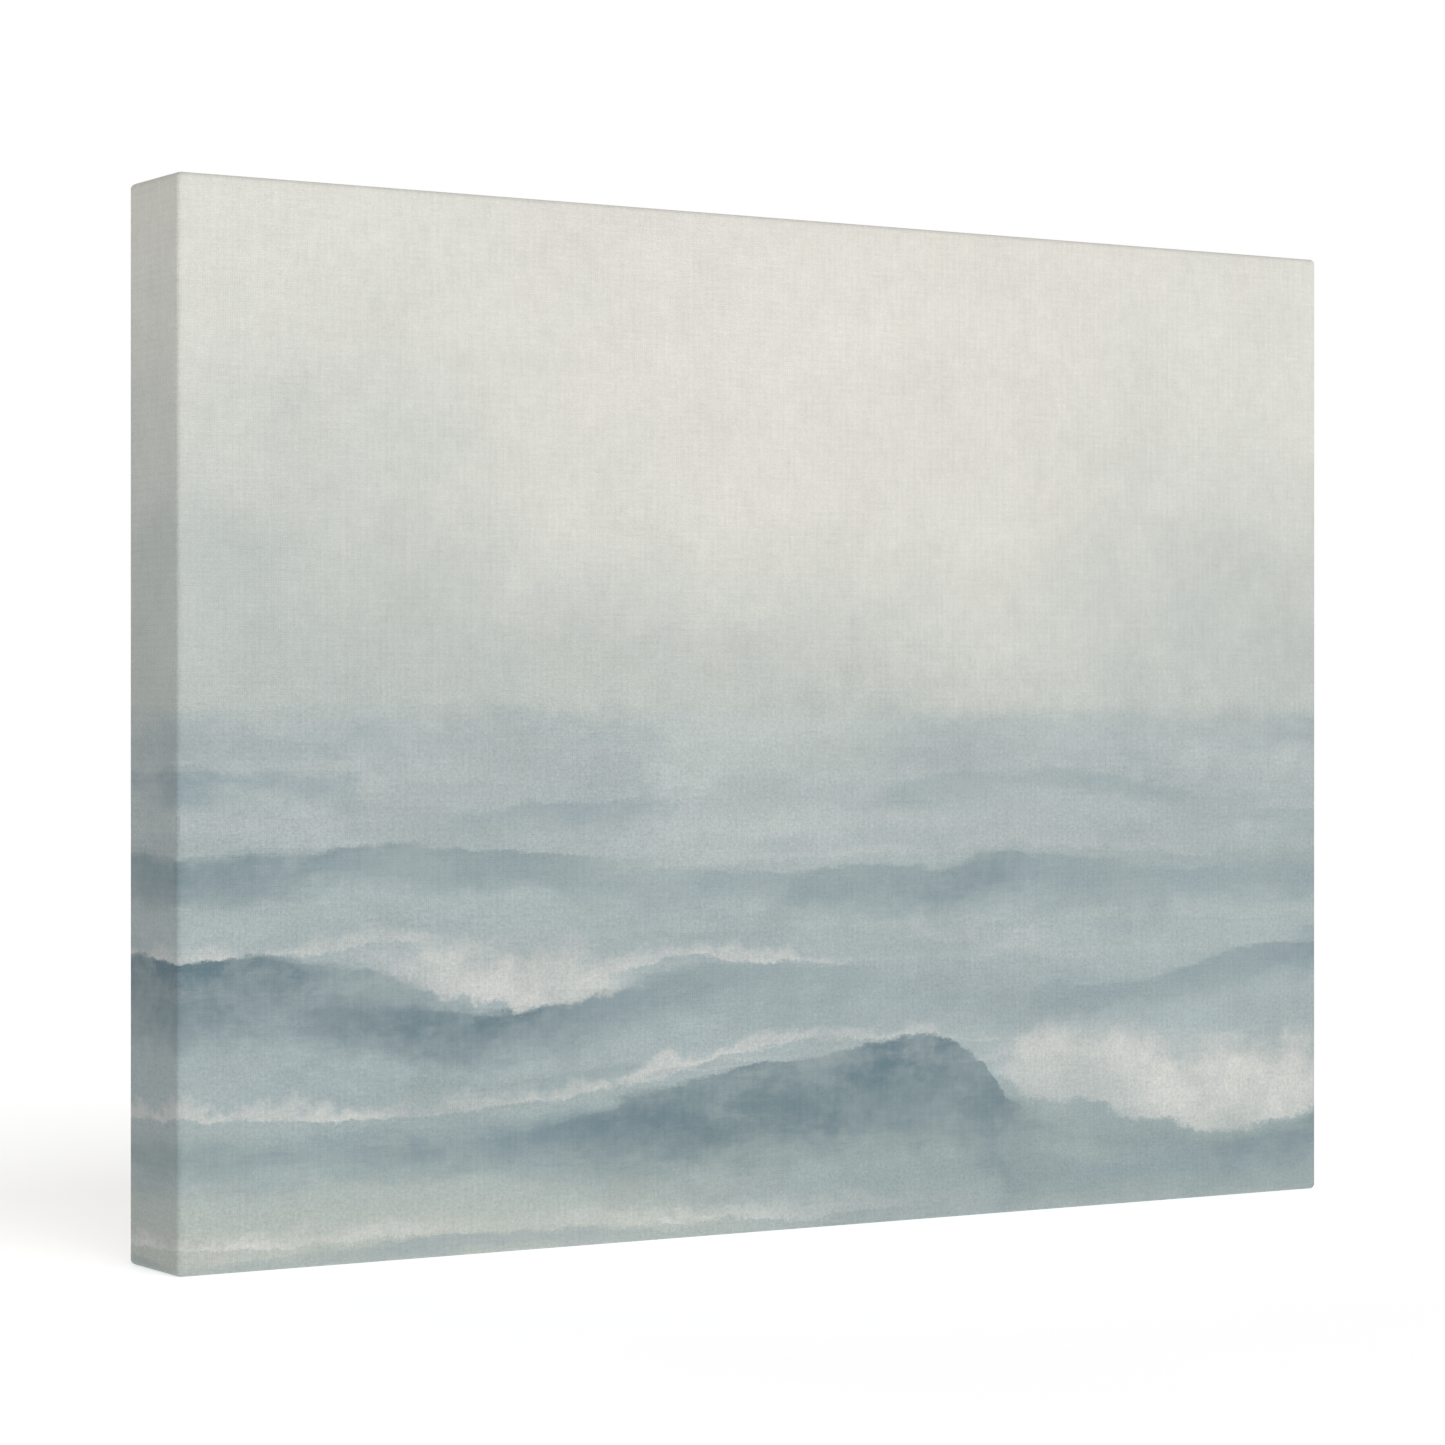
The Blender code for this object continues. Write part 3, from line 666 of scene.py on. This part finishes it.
def timber(name, along, seed, early, late, ring_pitch, knots=False):
    """Straight-grained softwood whose grain runs along one world axis, "X" or "Z"."""
    finish = Finish(name, roughness=0.62, specular=0.3)
    x, y, z = parts_of(finish.place())
    length, side = (x, z) if along == "X" else (z, x)
    shift = seed * 0.137
    drift = noise(vector(length * 3.2 + shift, side * 9.0, y * 9.0), 1.0, 3.0, 0.5, seed=seed) - 0.5
    side = side + drift * 0.016
    depth = y + drift * 0.012
    if knots:
        cell = finish.tree.nodes.new("ShaderNodeTexVoronoi")
        cell.inputs["Scale"].default_value = 1.0
        connect(vector(length * 9.0 + shift, side * 26.0 + shift, y * 2.0), cell.inputs["Vector"])
        near_knot = 1.0 - smooth(0.02, 0.34, Field(finish.tree, cell.outputs["Distance"]))
        side = side + near_knot * 0.006
    from_side = side - (PITH_SIDE + shift * 0.05)
    from_depth = depth + PITH_DEPTH
    radius = arithmetic("SQRT", from_side * from_side + from_depth * from_depth)
    ring = arithmetic("FRACT", radius / ring_pitch)
    late_wood = smooth(0.35, 0.92, ring) * (1.0 - smooth(0.93, 1.0, ring))
    fibre = noise(vector(length * 26.0, side * 1400.0, y * 1400.0), 1.0, 3.0, 0.6, seed=seed + 1) - 0.5
    cloud = noise(vector(length * 9.0, side * 40.0, y * 40.0), 1.0, 3.0, 0.5, seed=seed + 2)
    colour = mix(late_wood * (0.45 + cloud * 0.5), early, late)
    if knots:
        colour = mix(smooth(0.45, 1.0, near_knot) * 0.55, colour, KNOT)
    colour = tinted(colour, fibre * 0.30 + (cloud - 0.5) * 0.14)
    finish.set("Base Color", colour)
    finish.set("Roughness", 0.56 + fibre * 0.3)
    finish.bump(fibre * 0.8 + late_wood * 0.25, 0.12 * MM, 0.6)
    return finish.material


DULL_METAL = linear(150, 148, 142)


def metal(name, colour, roughness):
    """Plated metal with a faint mottle and fine scratches."""
    finish = Finish(name, roughness=roughness, metallic=1.0)
    place = finish.place()
    mottle = noise(place, 260.0, 3.0, 0.6, seed=91) - 0.5
    x, y, z = parts_of(place)
    scratch = noise(vector(x * 300.0, y * 300.0, z * 9000.0), 1.0, 2.0, 0.6, seed=92) - 0.5
    worn = smooth(0.0, 0.16, mottle) * 0.35
    finish.set("Base Color", tinted(mix(worn, colour, DULL_METAL), mottle * 0.5 + scratch * 0.2))
    finish.set("Roughness", mottle * 0.35 + scratch * 0.25 + roughness)
    finish.bump(scratch + mottle, 0.02 * MM, 0.5)
    return finish.material


def clear_rubber():
    """Milky clear polyurethane, a little dusty."""
    finish = Finish("clear_rubber", roughness=0.22, specular=0.5)
    place = finish.place()
    dust = noise(place, 900.0, 3.0, 0.6, seed=95)
    finish.set("Base Color", mix(dust, linear(214, 219, 216), linear(238, 240, 238)))
    finish.set("Roughness", 0.16 + dust * 0.3)
    finish.set("Transmission Weight", 0.72)
    finish.set("IOR", 1.48)
    finish.bump(dust, 0.05 * MM, 0.3)
    return finish.material


# ---------------------------------------------------------------- the cloth

FLAT_X = WIDTH / 2 - EDGE_RADIUS  # half the width of the picture's flat
FLAT_LOW = LOW.z + EDGE_RADIUS
FLAT_HIGH = HIGH.z - EDGE_RADIUS
MIDDLE_Z = (LOW.z + HIGH.z) / 2
FRONT_COLUMNS = 136  # faces across and up the picture
FRONT_ROWS = 102
EDGE_STEPS = 5  # round each long edge
SIDE_STEPS = 10  # across a side
CORNER_STEPS = 4  # round each short corner edge
MARGIN_STEPS = 16  # from the back edge to the cut edge
SAME_PLACE = 1e-7  # points nearer than this are one point
SIDE_SEED = {"top": 1.0, "bottom": 5.0, "left": 9.0, "right": 13.0}
STAPLES = [name for name in frame["nodes"] if name.startswith("staple_")]
CROWNS = []  # each staple's low x and z, and its high x and z
for staple in STAPLES:
    corner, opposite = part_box(staple)
    CROWNS.append((corner.x, corner.z, opposite.x, opposite.z))
STAPLE_REACH = 7 * MM  # how far from a staple the cloth is still drawn down


def wave_at(*place):
    """Smooth noise about zero at three coordinates."""
    return solid_noise(Vector(place))


def ease(low, high, value):
    """0 where value is below low, 1 above high, with a soft step between."""
    part = min(max((value - low) / (high - low), 0.0), 1.0)
    return part * part * (3 - 2 * part)


def section(f):
    """At f along the cloth: distance out from the flat, depth, and the outward normal's parts."""
    if f <= ARC:
        turn = f / EDGE_RADIUS
        out = EDGE_RADIUS * math.sin(turn)
        return out, FRONT + EDGE_RADIUS * (1 - math.cos(turn)), math.sin(turn), -math.cos(turn)
    if f <= ARC + SIDE_RUN:
        return EDGE_RADIUS, FRONT + EDGE_RADIUS + f - ARC, 1.0, 0.0
    if f <= TO_BACK:
        turn = (f - ARC - SIDE_RUN) / EDGE_RADIUS
        out = EDGE_RADIUS * math.cos(turn)
        return out, BACK - EDGE_RADIUS * (1 - math.sin(turn)), math.cos(turn), math.sin(turn)
    return TO_BACK - f, BACK, 0.0, 1.0


def to_nearest_staple(x, z):
    """Distance from a point on the back to the nearest staple's crown."""
    return min(math.dist((x, z), (min(max(x, a), c), min(max(z, b), d))) for a, b, c, d in CROWNS)


def pressed(x, z, lift, under):
    """The lift of a layer on the back, drawn down to its height under the nearest staple."""
    away = to_nearest_staple(x, z)
    freedom = 1 - math.exp(-((away / STAPLE_REACH) ** 2))
    return under + (lift - under) * freedom


def wrap_point(side, s, f, lift):
    """A point of the wrap on one side. s runs along that side, in world x or z."""
    out, y, push_out, push_back = section(f)
    out += push_out * lift
    y += push_back * lift
    if side == "top":
        return Vector((s, y, FLAT_HIGH + out))
    if side == "bottom":
        return Vector((s, y, FLAT_LOW - out))
    if side == "right":
        return Vector((FLAT_X + out, y, s))
    return Vector((-FLAT_X - out, y, s))


def wrap_flat(side, s, f):
    """Where that point lay in the flat sheet, from the middle of the picture's lower edge."""
    if side == "top":
        return (s, FLAT_HIGH - LOW.z + f, 0.0)
    if side == "bottom":
        return (s, EDGE_RADIUS - f, 0.0)
    if side == "right":
        return (FLAT_X + f, s - LOW.z, 0.0)
    return (-FLAT_X - f, s - LOW.z, 0.0)


class Mesher:
    """Collects points with their flat coordinates, and faces wound to face outwards."""

    def __init__(self):
        self.points = []
        self.flats = []
        self.faces = []

    def point(self, place, flat):
        self.points.append(Vector(place))
        self.flats.append(flat)
        return len(self.points) - 1

    def grid(self, rows, outward):
        """Joins rows of points. outward gives the direction to face near a point."""
        for low, high in zip(rows, rows[1:]):
            for a, b, c, d in zip(low, low[1:], high[1:], high):
                corners = []
                for index in (a, b, c, d):
                    place = self.points[index]
                    if all((place - self.points[other]).length > SAME_PLACE for other in corners):
                        corners.append(index)
                if len(corners) < 3:
                    continue
                first, second, third = (self.points[index] for index in corners[:3])
                normal = (second - first).cross(third - first)
                if normal.dot(outward(self.points[a])) < 0:
                    corners.reverse()
                self.faces.append(corners)


def away_from_middle(point):
    """The way out of the stretched shape, which is a box, at a point of its surface."""
    if point.y <= FRONT + EDGE_RADIUS * 0.6:
        return Vector((0, -1, 0))
    if point.y >= BACK - EDGE_RADIUS * 0.6:
        return Vector((0, 1, 0))
    beyond_x = abs(point.x) - FLAT_X
    beyond_z = abs(point.z - MIDDLE_Z) - (FLAT_HIGH - MIDDLE_Z)
    if beyond_x > beyond_z:
        return Vector((math.copysign(1, point.x), 0, 0))
    return Vector((0, 0, math.copysign(1, point.z - MIDDLE_Z)))


def spaced(first, last, count):
    return [first + (last - first) * index / count for index in range(count + 1)]


FRONT_X = spaced(-FLAT_X, FLAT_X, FRONT_COLUMNS)
FRONT_Z = spaced(FLAT_LOW, FLAT_HIGH, FRONT_ROWS)
ALONG = {"top": FRONT_X, "bottom": FRONT_X, "left": FRONT_Z, "right": FRONT_Z}
RING_F = (
    spaced(0.0, ARC, EDGE_STEPS)
    + spaced(ARC, ARC + SIDE_RUN, SIDE_STEPS)[1:]
    + spaced(ARC + SIDE_RUN, TO_BACK, EDGE_STEPS)[1:]
)


def front_swell(x, z):
    """How far the taut picture stands from flat: slight hollows between the staples' pulls."""
    edge = min(FLAT_X - abs(x), z - FLAT_LOW, FLAT_HIGH - z)
    calm = ease(0.0, 18 * MM, edge)
    return (wave_at(x * 16, z * 16, 3.1) * 0.10 + wave_at(x * 45, z * 45, 7.7) * 0.035) * MM * calm


def side_swell(side, s, f):
    """Slight unevenness of the cloth on a side wall, none at its edges and ends."""
    calm = ease(ARC, ARC + 5 * MM, f) * (1 - ease(ARC + SIDE_RUN - 5 * MM, ARC + SIDE_RUN, f))
    places = ALONG[side]
    calm *= ease(0.0, 6 * MM, min(s - places[0], places[-1] - s))
    seed = SIDE_SEED[side]
    return (wave_at(s * 40, f * 50, seed) * 0.16 + wave_at(s * 130, f * 40, seed + 2) * 0.05) * MM * calm


def front_and_sides(mesher):
    rows = []
    for z in FRONT_Z:
        rows.append([
            mesher.point((x, FRONT - front_swell(x, z), z), (x, z - LOW.z, 0.0)) for x in FRONT_X
        ])
    mesher.grid(rows, away_from_middle)
    for side, places in ALONG.items():
        rows = []
        for f in RING_F:
            row = []
            for s in places:
                lift = side_swell(side, s, f)
                row.append(mesher.point(wrap_point(side, s, f, lift), wrap_flat(side, s, f)))
            rows.append(row)
        mesher.grid(rows, away_from_middle)
    for x_sign in (-1, 1):
        for z_sign in (-1, 1):
            rounded_corner(mesher, x_sign, z_sign)


def rounded_corner(mesher, x_sign, z_sign):
    """The cloth of the left or right side as it turns the corner towards the top or bottom."""
    corner_z = FLAT_HIGH if z_sign > 0 else FLAT_LOW
    rows = []
    for f in RING_F:
        out, y, _, _ = section(f)
        row = []
        for turn in spaced(0.0, math.pi / 2, CORNER_STEPS):
            place = (
                x_sign * (FLAT_X + out * math.cos(turn)),
                y,
                corner_z + z_sign * out * math.sin(turn),
            )
            flat = (x_sign * (FLAT_X + f), corner_z - LOW.z + z_sign * out * turn, 0.0)
            row.append(mesher.point(place, flat))
        rows.append(row)
    half_out = Vector((x_sign, 0, z_sign)) * 0.5
    mesher.grid(rows, lambda point: away_from_middle(point) + half_out)


def raw_edge(side, s):
    """How far along the cloth its cut edge is, which wanders as shears do."""
    seed = 20 + SIDE_SEED[side]
    wander = wave_at(s * 22, seed, 0.5) * 1.3 + wave_at(s * 90, seed, 4.5) * 0.45
    return TO_RAW_EDGE + wander * MM


def on_back(side, s, f):
    """World x and z of a point on the back margin."""
    place = wrap_point(side, s, f, 0.0)
    return place.x, place.z


def margin_lift(side, s, f):
    """How far a margin stands off the back's plane."""
    x, z = on_back(side, s, f)
    seed = 40 + SIDE_SEED[side]
    away = f - TO_BACK
    start = ease(0.0, 4 * MM, away)
    pucker = wave_at(s * 75, away * 22, seed) * 0.42 + wave_at(s * 190, away * 40, seed + 2) * 0.14
    curl = ease(MARGIN - 10 * MM, MARGIN, away) * (0.35 + wave_at(s * 40, seed, 2.5) * 0.8)
    lift = (0.30 + pucker + curl) * MM
    if side in ("top", "bottom"):
        to_end = FLAT_X - abs(s)
        over = 1 - ease(MARGIN - 2.5 * MM, MARGIN + 2 * MM, to_end)
        lift += over * 0.55 * MM
        lift = pressed(x, z, lift, 0.16 * MM + over * 0.06 * MM)
    else:
        to_end = min(s - FLAT_LOW, FLAT_HIGH - s)
        covered = 1 - ease(MARGIN - 1 * MM, MARGIN + 6 * MM, to_end)
        lift = pressed(x, z, lift * (1 - covered), (0.14 - covered * 0.26) * MM)
    return lift * start


def margin(mesher, side):
    """The cloth turned on to the back on one side, from the edge to its cut edge."""
    rows = []
    for step in range(MARGIN_STEPS + 1):
        row = []
        for s in ALONG[side]:
            f = TO_BACK + (raw_edge(side, s) - TO_BACK) * step / MARGIN_STEPS
            lift = margin_lift(side, s, f)
            row.append(mesher.point(wrap_point(side, s, f, lift), wrap_flat(side, s, f)))
        rows.append(row)
    mesher.grid(rows, lambda point: Vector((0, 1, 0)))


FOLD_ROUND = 0.45 * MM  # radius of the folded edge
FOLD_STAND = 0.55 * MM  # how far the fold stands off the cloth under it
FOLD_START = ARC + 0.5 * MM  # where the fold begins, just behind the front edge
FOLD_TUCK = 0.6 * MM  # how far its end stops short of the cut edge
FOLD_COLUMNS = 20
FOLD_TURNS = spaced(0.0, math.pi / 2, 4)
FOLD_STATIONS = (
    spaced(FOLD_START, ARC + SIDE_RUN, 14)
    + spaced(ARC + SIDE_RUN, TO_BACK, EDGE_STEPS)[1:]
    + spaced(TO_BACK, TO_RAW_EDGE, 18)[1:]
)


def fold_lift(side, s, f, a):
    """How high the folded ear's face stands at f along the cloth and a from the corner."""
    below = margin_lift(side, s, f) if f > TO_BACK else side_swell(side, s, f)
    rise = (ease(0.0, 3.5 * MM, a) * 0.8 + 0.2) * ease(ARC, ARC + 10 * MM, f)
    wrinkle = wave_at(a * 120, f * 30, 61.0) * 0.10 * MM * ease(2 * MM, 8 * MM, min(a, f - a))
    stand = FOLD_STAND
    if side == "bottom":
        stand *= 0.2 + 0.8 * ease(TO_BACK - EDGE_RADIUS, TO_BACK + 3 * MM, f)
    lift = below + stand * rise + wrinkle
    if f > TO_BACK:
        x, z = on_back(side, s, f)
        lift = max(pressed(x, z, lift, 0.28 * MM), below + 0.08 * MM)
    return lift


def folded_ear(mesher, side, x_sign):
    """The spare cloth of one corner, folded over at 45 degrees on to the top or bottom."""
    z_sign = 1 if side == "top" else -1
    corner_v = (FLAT_HIGH if z_sign > 0 else FLAT_LOW) - LOW.z

    def ear_point(f, a, past=0.0, drop=0.0):
        """The face's point at f along the cloth and a from the corner, or one past and below it."""
        at = f
        if f == FOLD_STATIONS[-1]:
            at = raw_edge(side, x_sign * (FLAT_X - a)) - FOLD_TUCK
        s = x_sign * (FLAT_X - a - past)
        place = wrap_point(side, s, at, fold_lift(side, s, at, a) - drop)
        return mesher.point(place, (x_sign * (FLAT_X + at), corner_v + z_sign * (a + past), 0.0))

    rows = []
    for f in FOLD_STATIONS:
        crown = f - FOLD_ROUND
        row = []
        if f > TO_BACK:
            for turn in reversed(FOLD_TURNS[1:]):
                past, drop = FOLD_ROUND * math.sin(turn), FOLD_ROUND * 1.6 * (1 - math.cos(turn))
                row.append(ear_point(f, 0.0, -past, drop))
        for part in range(FOLD_COLUMNS):
            row.append(ear_point(f, crown * part / FOLD_COLUMNS))
        if f <= TO_BACK:
            row = [row[0]] * (len(FOLD_TURNS) - 1) + row
        for turn in FOLD_TURNS:
            past, drop = FOLD_ROUND * math.sin(turn), FOLD_ROUND * (1 - math.cos(turn))
            row.append(ear_point(f, crown, past, drop))
        row.append(ear_point(f, crown, FOLD_ROUND * 0.8, FOLD_ROUND * 1.5))
        rows.append(row)
    mesher.grid(rows, away_from_middle)


def placed(name, data):
    """A new object in the scene."""
    thing = bpy.data.objects.new(name, data)
    bpy.context.collection.objects.link(thing)
    return thing


def mesh_object(name, mesher, materials, weld=0.0):
    """An object of the collected points and faces. Points nearer than weld are joined."""
    mesh = bpy.data.meshes.new(name)
    mesh.from_pydata(mesher.points, [], mesher.faces)
    flat = mesh.attributes.new("flat", "FLOAT_VECTOR", "POINT")
    for value, coordinates in zip(flat.data, mesher.flats):
        value.vector = coordinates
    for material in materials:
        mesh.materials.append(material)
    if weld:
        shape = bmesh.new()
        shape.from_mesh(mesh)
        bmesh.ops.remove_doubles(shape, verts=shape.verts, dist=weld)
        shape.to_mesh(mesh)
        shape.free()
    mesh.shade_smooth()
    return placed(name, mesh)


def thickness(piece, depth):
    """Gives a sheet its thickness inwards, with the second material inside and on its rim."""
    solid = piece.modifiers.new("cloth_thickness", "SOLIDIFY")
    solid.thickness = depth
    solid.offset = -1.0
    solid.material_offset = 1
    solid.material_offset_rim = 1


def build_cloth(materials):
    wrap = Mesher()
    front_and_sides(wrap)
    for side in ALONG:
        margin(wrap, side)
    cloth = mesh_object("canvas_cloth", wrap, materials, weld=0.002 * MM)
    thickness(cloth, CLOTH)
    ears = Mesher()
    for side in ("top", "bottom"):
        for x_sign in (-1, 1):
            folded_ear(ears, side, x_sign)
    folds = mesh_object("corner_folds", ears, materials)
    thickness(folds, CLOTH * 0.8)
    return cloth, folds


THREAD_STEPS = 6


def tube(mesher, path, radius, flat):
    """A thin four-sided thread along a path, narrower at its free end."""
    rings = []
    for index, place in enumerate(path):
        ahead = path[min(index + 1, len(path) - 1)] - path[max(index - 1, 0)]
        side = ahead.cross(Vector((0, 1, 0))).normalized()
        lift = side.cross(ahead).normalized()
        size = radius * (1.0 if index < len(path) - 1 else 0.25)
        ring = []
        for corner in range(5):
            turn = corner % 4 * math.pi / 2
            spot = place + (side * math.cos(turn) + lift * math.sin(turn)) * size
            ring.append(mesher.point(spot, flat) if corner < 4 else ring[0])
        rings.append(ring)
    for low, high in zip(rings, rings[1:]):
        for a, b, c, d in zip(low, low[1:], high[1:], high):
            mesher.faces.append((a, b, c, d))
    mesher.faces.append(tuple(reversed(rings[0][:4])))
    mesher.faces.append(tuple(rings[-1][:4]))


def frayed_threads(material):
    """Loose thread ends along the cut edges of the cloth."""
    chance = random.Random(11)
    mesher = Mesher()
    level = (-FLAT_X, FLAT_X)
    upright = (FLAT_LOW + MARGIN, FLAT_HIGH - MARGIN)
    for side, ends, count in (
        ("top", level, 90), ("bottom", level, 90), ("left", upright, 60), ("right", upright, 60),
    ):
        for _ in range(count):
            s = chance.uniform(*ends)
            f = raw_edge(side, s) - 0.8 * MM
            lift = margin_lift(side, s, f) - CLOTH * chance.uniform(0.2, 0.7)
            length = chance.choice((1.4, 1.8, 2.4, 3.4, 5.0, 8.0)) * chance.uniform(0.7, 1.2) * MM
            lean = chance.uniform(-0.7, 0.7)
            curl = chance.uniform(-260, 260)
            rise = chance.uniform(-0.02, 0.12)
            path = []
            place_s, place_f = s, f
            for _ in range(THREAD_STEPS + 1):
                path.append(wrap_point(side, place_s, place_f, lift + rise * (place_f - f)))
                place_s += math.sin(lean) * length / THREAD_STEPS
                place_f += math.cos(lean) * length / THREAD_STEPS
                lean += curl * length / THREAD_STEPS
            tube(mesher, path, chance.uniform(0.09, 0.15) * MM, wrap_flat(side, s, f))
    return mesh_object("frayed_threads", mesher, [material])


# ---------------------------------------------------------------- putting it together

printed = printed_cloth()
raw = raw_cloth()
cloth, folds = build_cloth([printed, raw])
threads = frayed_threads(raw)
for piece in (cloth, folds, threads):
    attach(piece, "frame")
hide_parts("canvas")
WIDTH + 2 * (TO_RAW_EDGE - EDGE_RADIUS)
HEIGHT + 2 * (TO_RAW_EDGE - EDGE_RADIUS)


SHARP = math.radians(35)  # edges that turn by more than this are softened


def dress(name, material, bevel=0.0):
    """Gives a part its finish, and softens its cut edges."""
    node = frame["nodes"][name]
    node.data.materials.clear()
    node.data.materials.append(material)
    if bevel:
        modifier = node.modifiers.new("worn_edges", "BEVEL")
        modifier.width = bevel
        modifier.segments = 2
        modifier.limit_method = "ANGLE"
        modifier.angle_limit = SHARP


BAR_GRAIN = {"bottom": "X", "top": "X", "left": "Z", "right": "Z"}
for number, (side, along) in enumerate(BAR_GRAIN.items()):
    pine = timber("pine_" + side, along, 3.0 + number * 4, PINE_EARLY, PINE_LATE, 3.4 * MM, knots=True)
    dress("stretcher_bar_" + side, pine, bevel=0.4 * MM)
for name in frame["nodes"]:
    if name.startswith("wedge_key_"):
        side = name.split("_")[2]
        along = "Z" if side in ("bottom", "top") else "X"
        wood = timber("wood_" + name, along, 20.0 + len(name), KEY_EARLY, KEY_LATE, 1.7 * MM)
        dress(name, wood, bevel=0.25 * MM)
wire = metal("galvanised_wire", linear(196, 198, 200), 0.30)
yellow = metal("yellow_plate", linear(214, 186, 124), 0.26)
nail_steel = metal("nail_plate", linear(205, 182, 132), 0.3)
rubber = clear_rubber()
for name in STAPLES:
    dress(name, wire, bevel=0.08 * MM)
dress("sawtooth_hanger", yellow, bevel=0.12 * MM)
for end in ("left", "right"):
    dress("hanger_nail_" + end, nail_steel)
    dress("bumper_" + end, rubber)


# ---------------------------------------------------------------- floor, light and camera

SUN_STRENGTH = 1.5
FILL_STRENGTH = 0.7
SUN_WIDTH = math.radians(50)
SKY_STRENGTH = 0.20  # the camera itself sees the sky at full strength
FLOOR_GLOW = 0.50
FLOOR_SIZE = 12.0


def pale_floor():
    """Nearly white, and glowing a little, so that it meets the sky unseen."""
    finish = Finish("pale_floor", roughness=0.9, specular=0.1)
    place = finish.place()
    speck = noise(place, 30.0, 3.0, 0.6, seed=99) - 0.5
    finish.set("Base Color", mix(speck, linear(246, 246, 246), linear(247, 247, 246)))
    finish.set("Emission Color", (1.0, 1.0, 1.0, 1.0))
    finish.set("Emission Strength", FLOOR_GLOW)
    return finish.material


def plane(name, size, material):
    """A level square about the origin."""
    mesh = bpy.data.meshes.new(name)
    half = size / 2
    corners = [(-half, -half, 0), (half, -half, 0), (half, half, 0), (-half, half, 0)]
    mesh.from_pydata(corners, [], [(0, 1, 2, 3)])
    mesh.materials.append(material)
    return placed(name, mesh)


def soft_sun(name, towards, strength, colour):
    """A wide, distant light in the given direction from the object."""
    data = bpy.data.lights.new(name, "SUN")
    data.energy = strength
    data.angle = SUN_WIDTH
    data.color = colour
    light = placed(name, data)
    light.rotation_euler = Vector(towards).to_track_quat("Z", "Y").to_euler()


soft_sun("front_light", (0.08, -0.80, 0.60), SUN_STRENGTH, (1.0, 1.0, 0.995))
soft_sun("back_light", (0.15, 0.85, 0.50), FILL_STRENGTH, (1.0, 1.0, 1.0))

floor = plane("floor", FLOOR_SIZE, pale_floor())

scene = bpy.context.scene
world = bpy.data.worlds.new("studio")
scene.world = world
world.use_nodes = True
sky_nodes = world.node_tree
backdrop = sky_nodes.nodes["Background"]
backdrop.inputs["Color"].default_value = (1, 1, 1, 1)
ray = sky_nodes.nodes.new("ShaderNodeLightPath")
level = sky_nodes.nodes.new("ShaderNodeMapRange")
level.inputs["To Min"].default_value = SKY_STRENGTH
level.inputs["To Max"].default_value = 1.0
sky_nodes.links.new(ray.outputs["Is Camera Ray"], level.inputs["Value"])
sky_nodes.links.new(level.outputs["Result"], backdrop.inputs["Strength"])

CAMERA_PLACE = Vector((-0.6669, -1.0494, 0.1538))
CAMERA_TURN = math.radians(-31.84)
FOCAL_LENGTH = 100.8  # in millimetres, on the sensor width below
SENSOR_WIDTH = 36.0
lens = bpy.data.cameras.new("camera")
lens.sensor_width = SENSOR_WIDTH
lens.lens = FOCAL_LENGTH
lens.clip_start = 0.01
camera = placed("camera", lens)
camera.location = CAMERA_PLACE
camera.rotation_euler = (math.radians(90), 0.0, CAMERA_TURN)
scene.camera = camera
scene.view_settings.view_transform = "Standard"
scene.view_settings.look = "None"
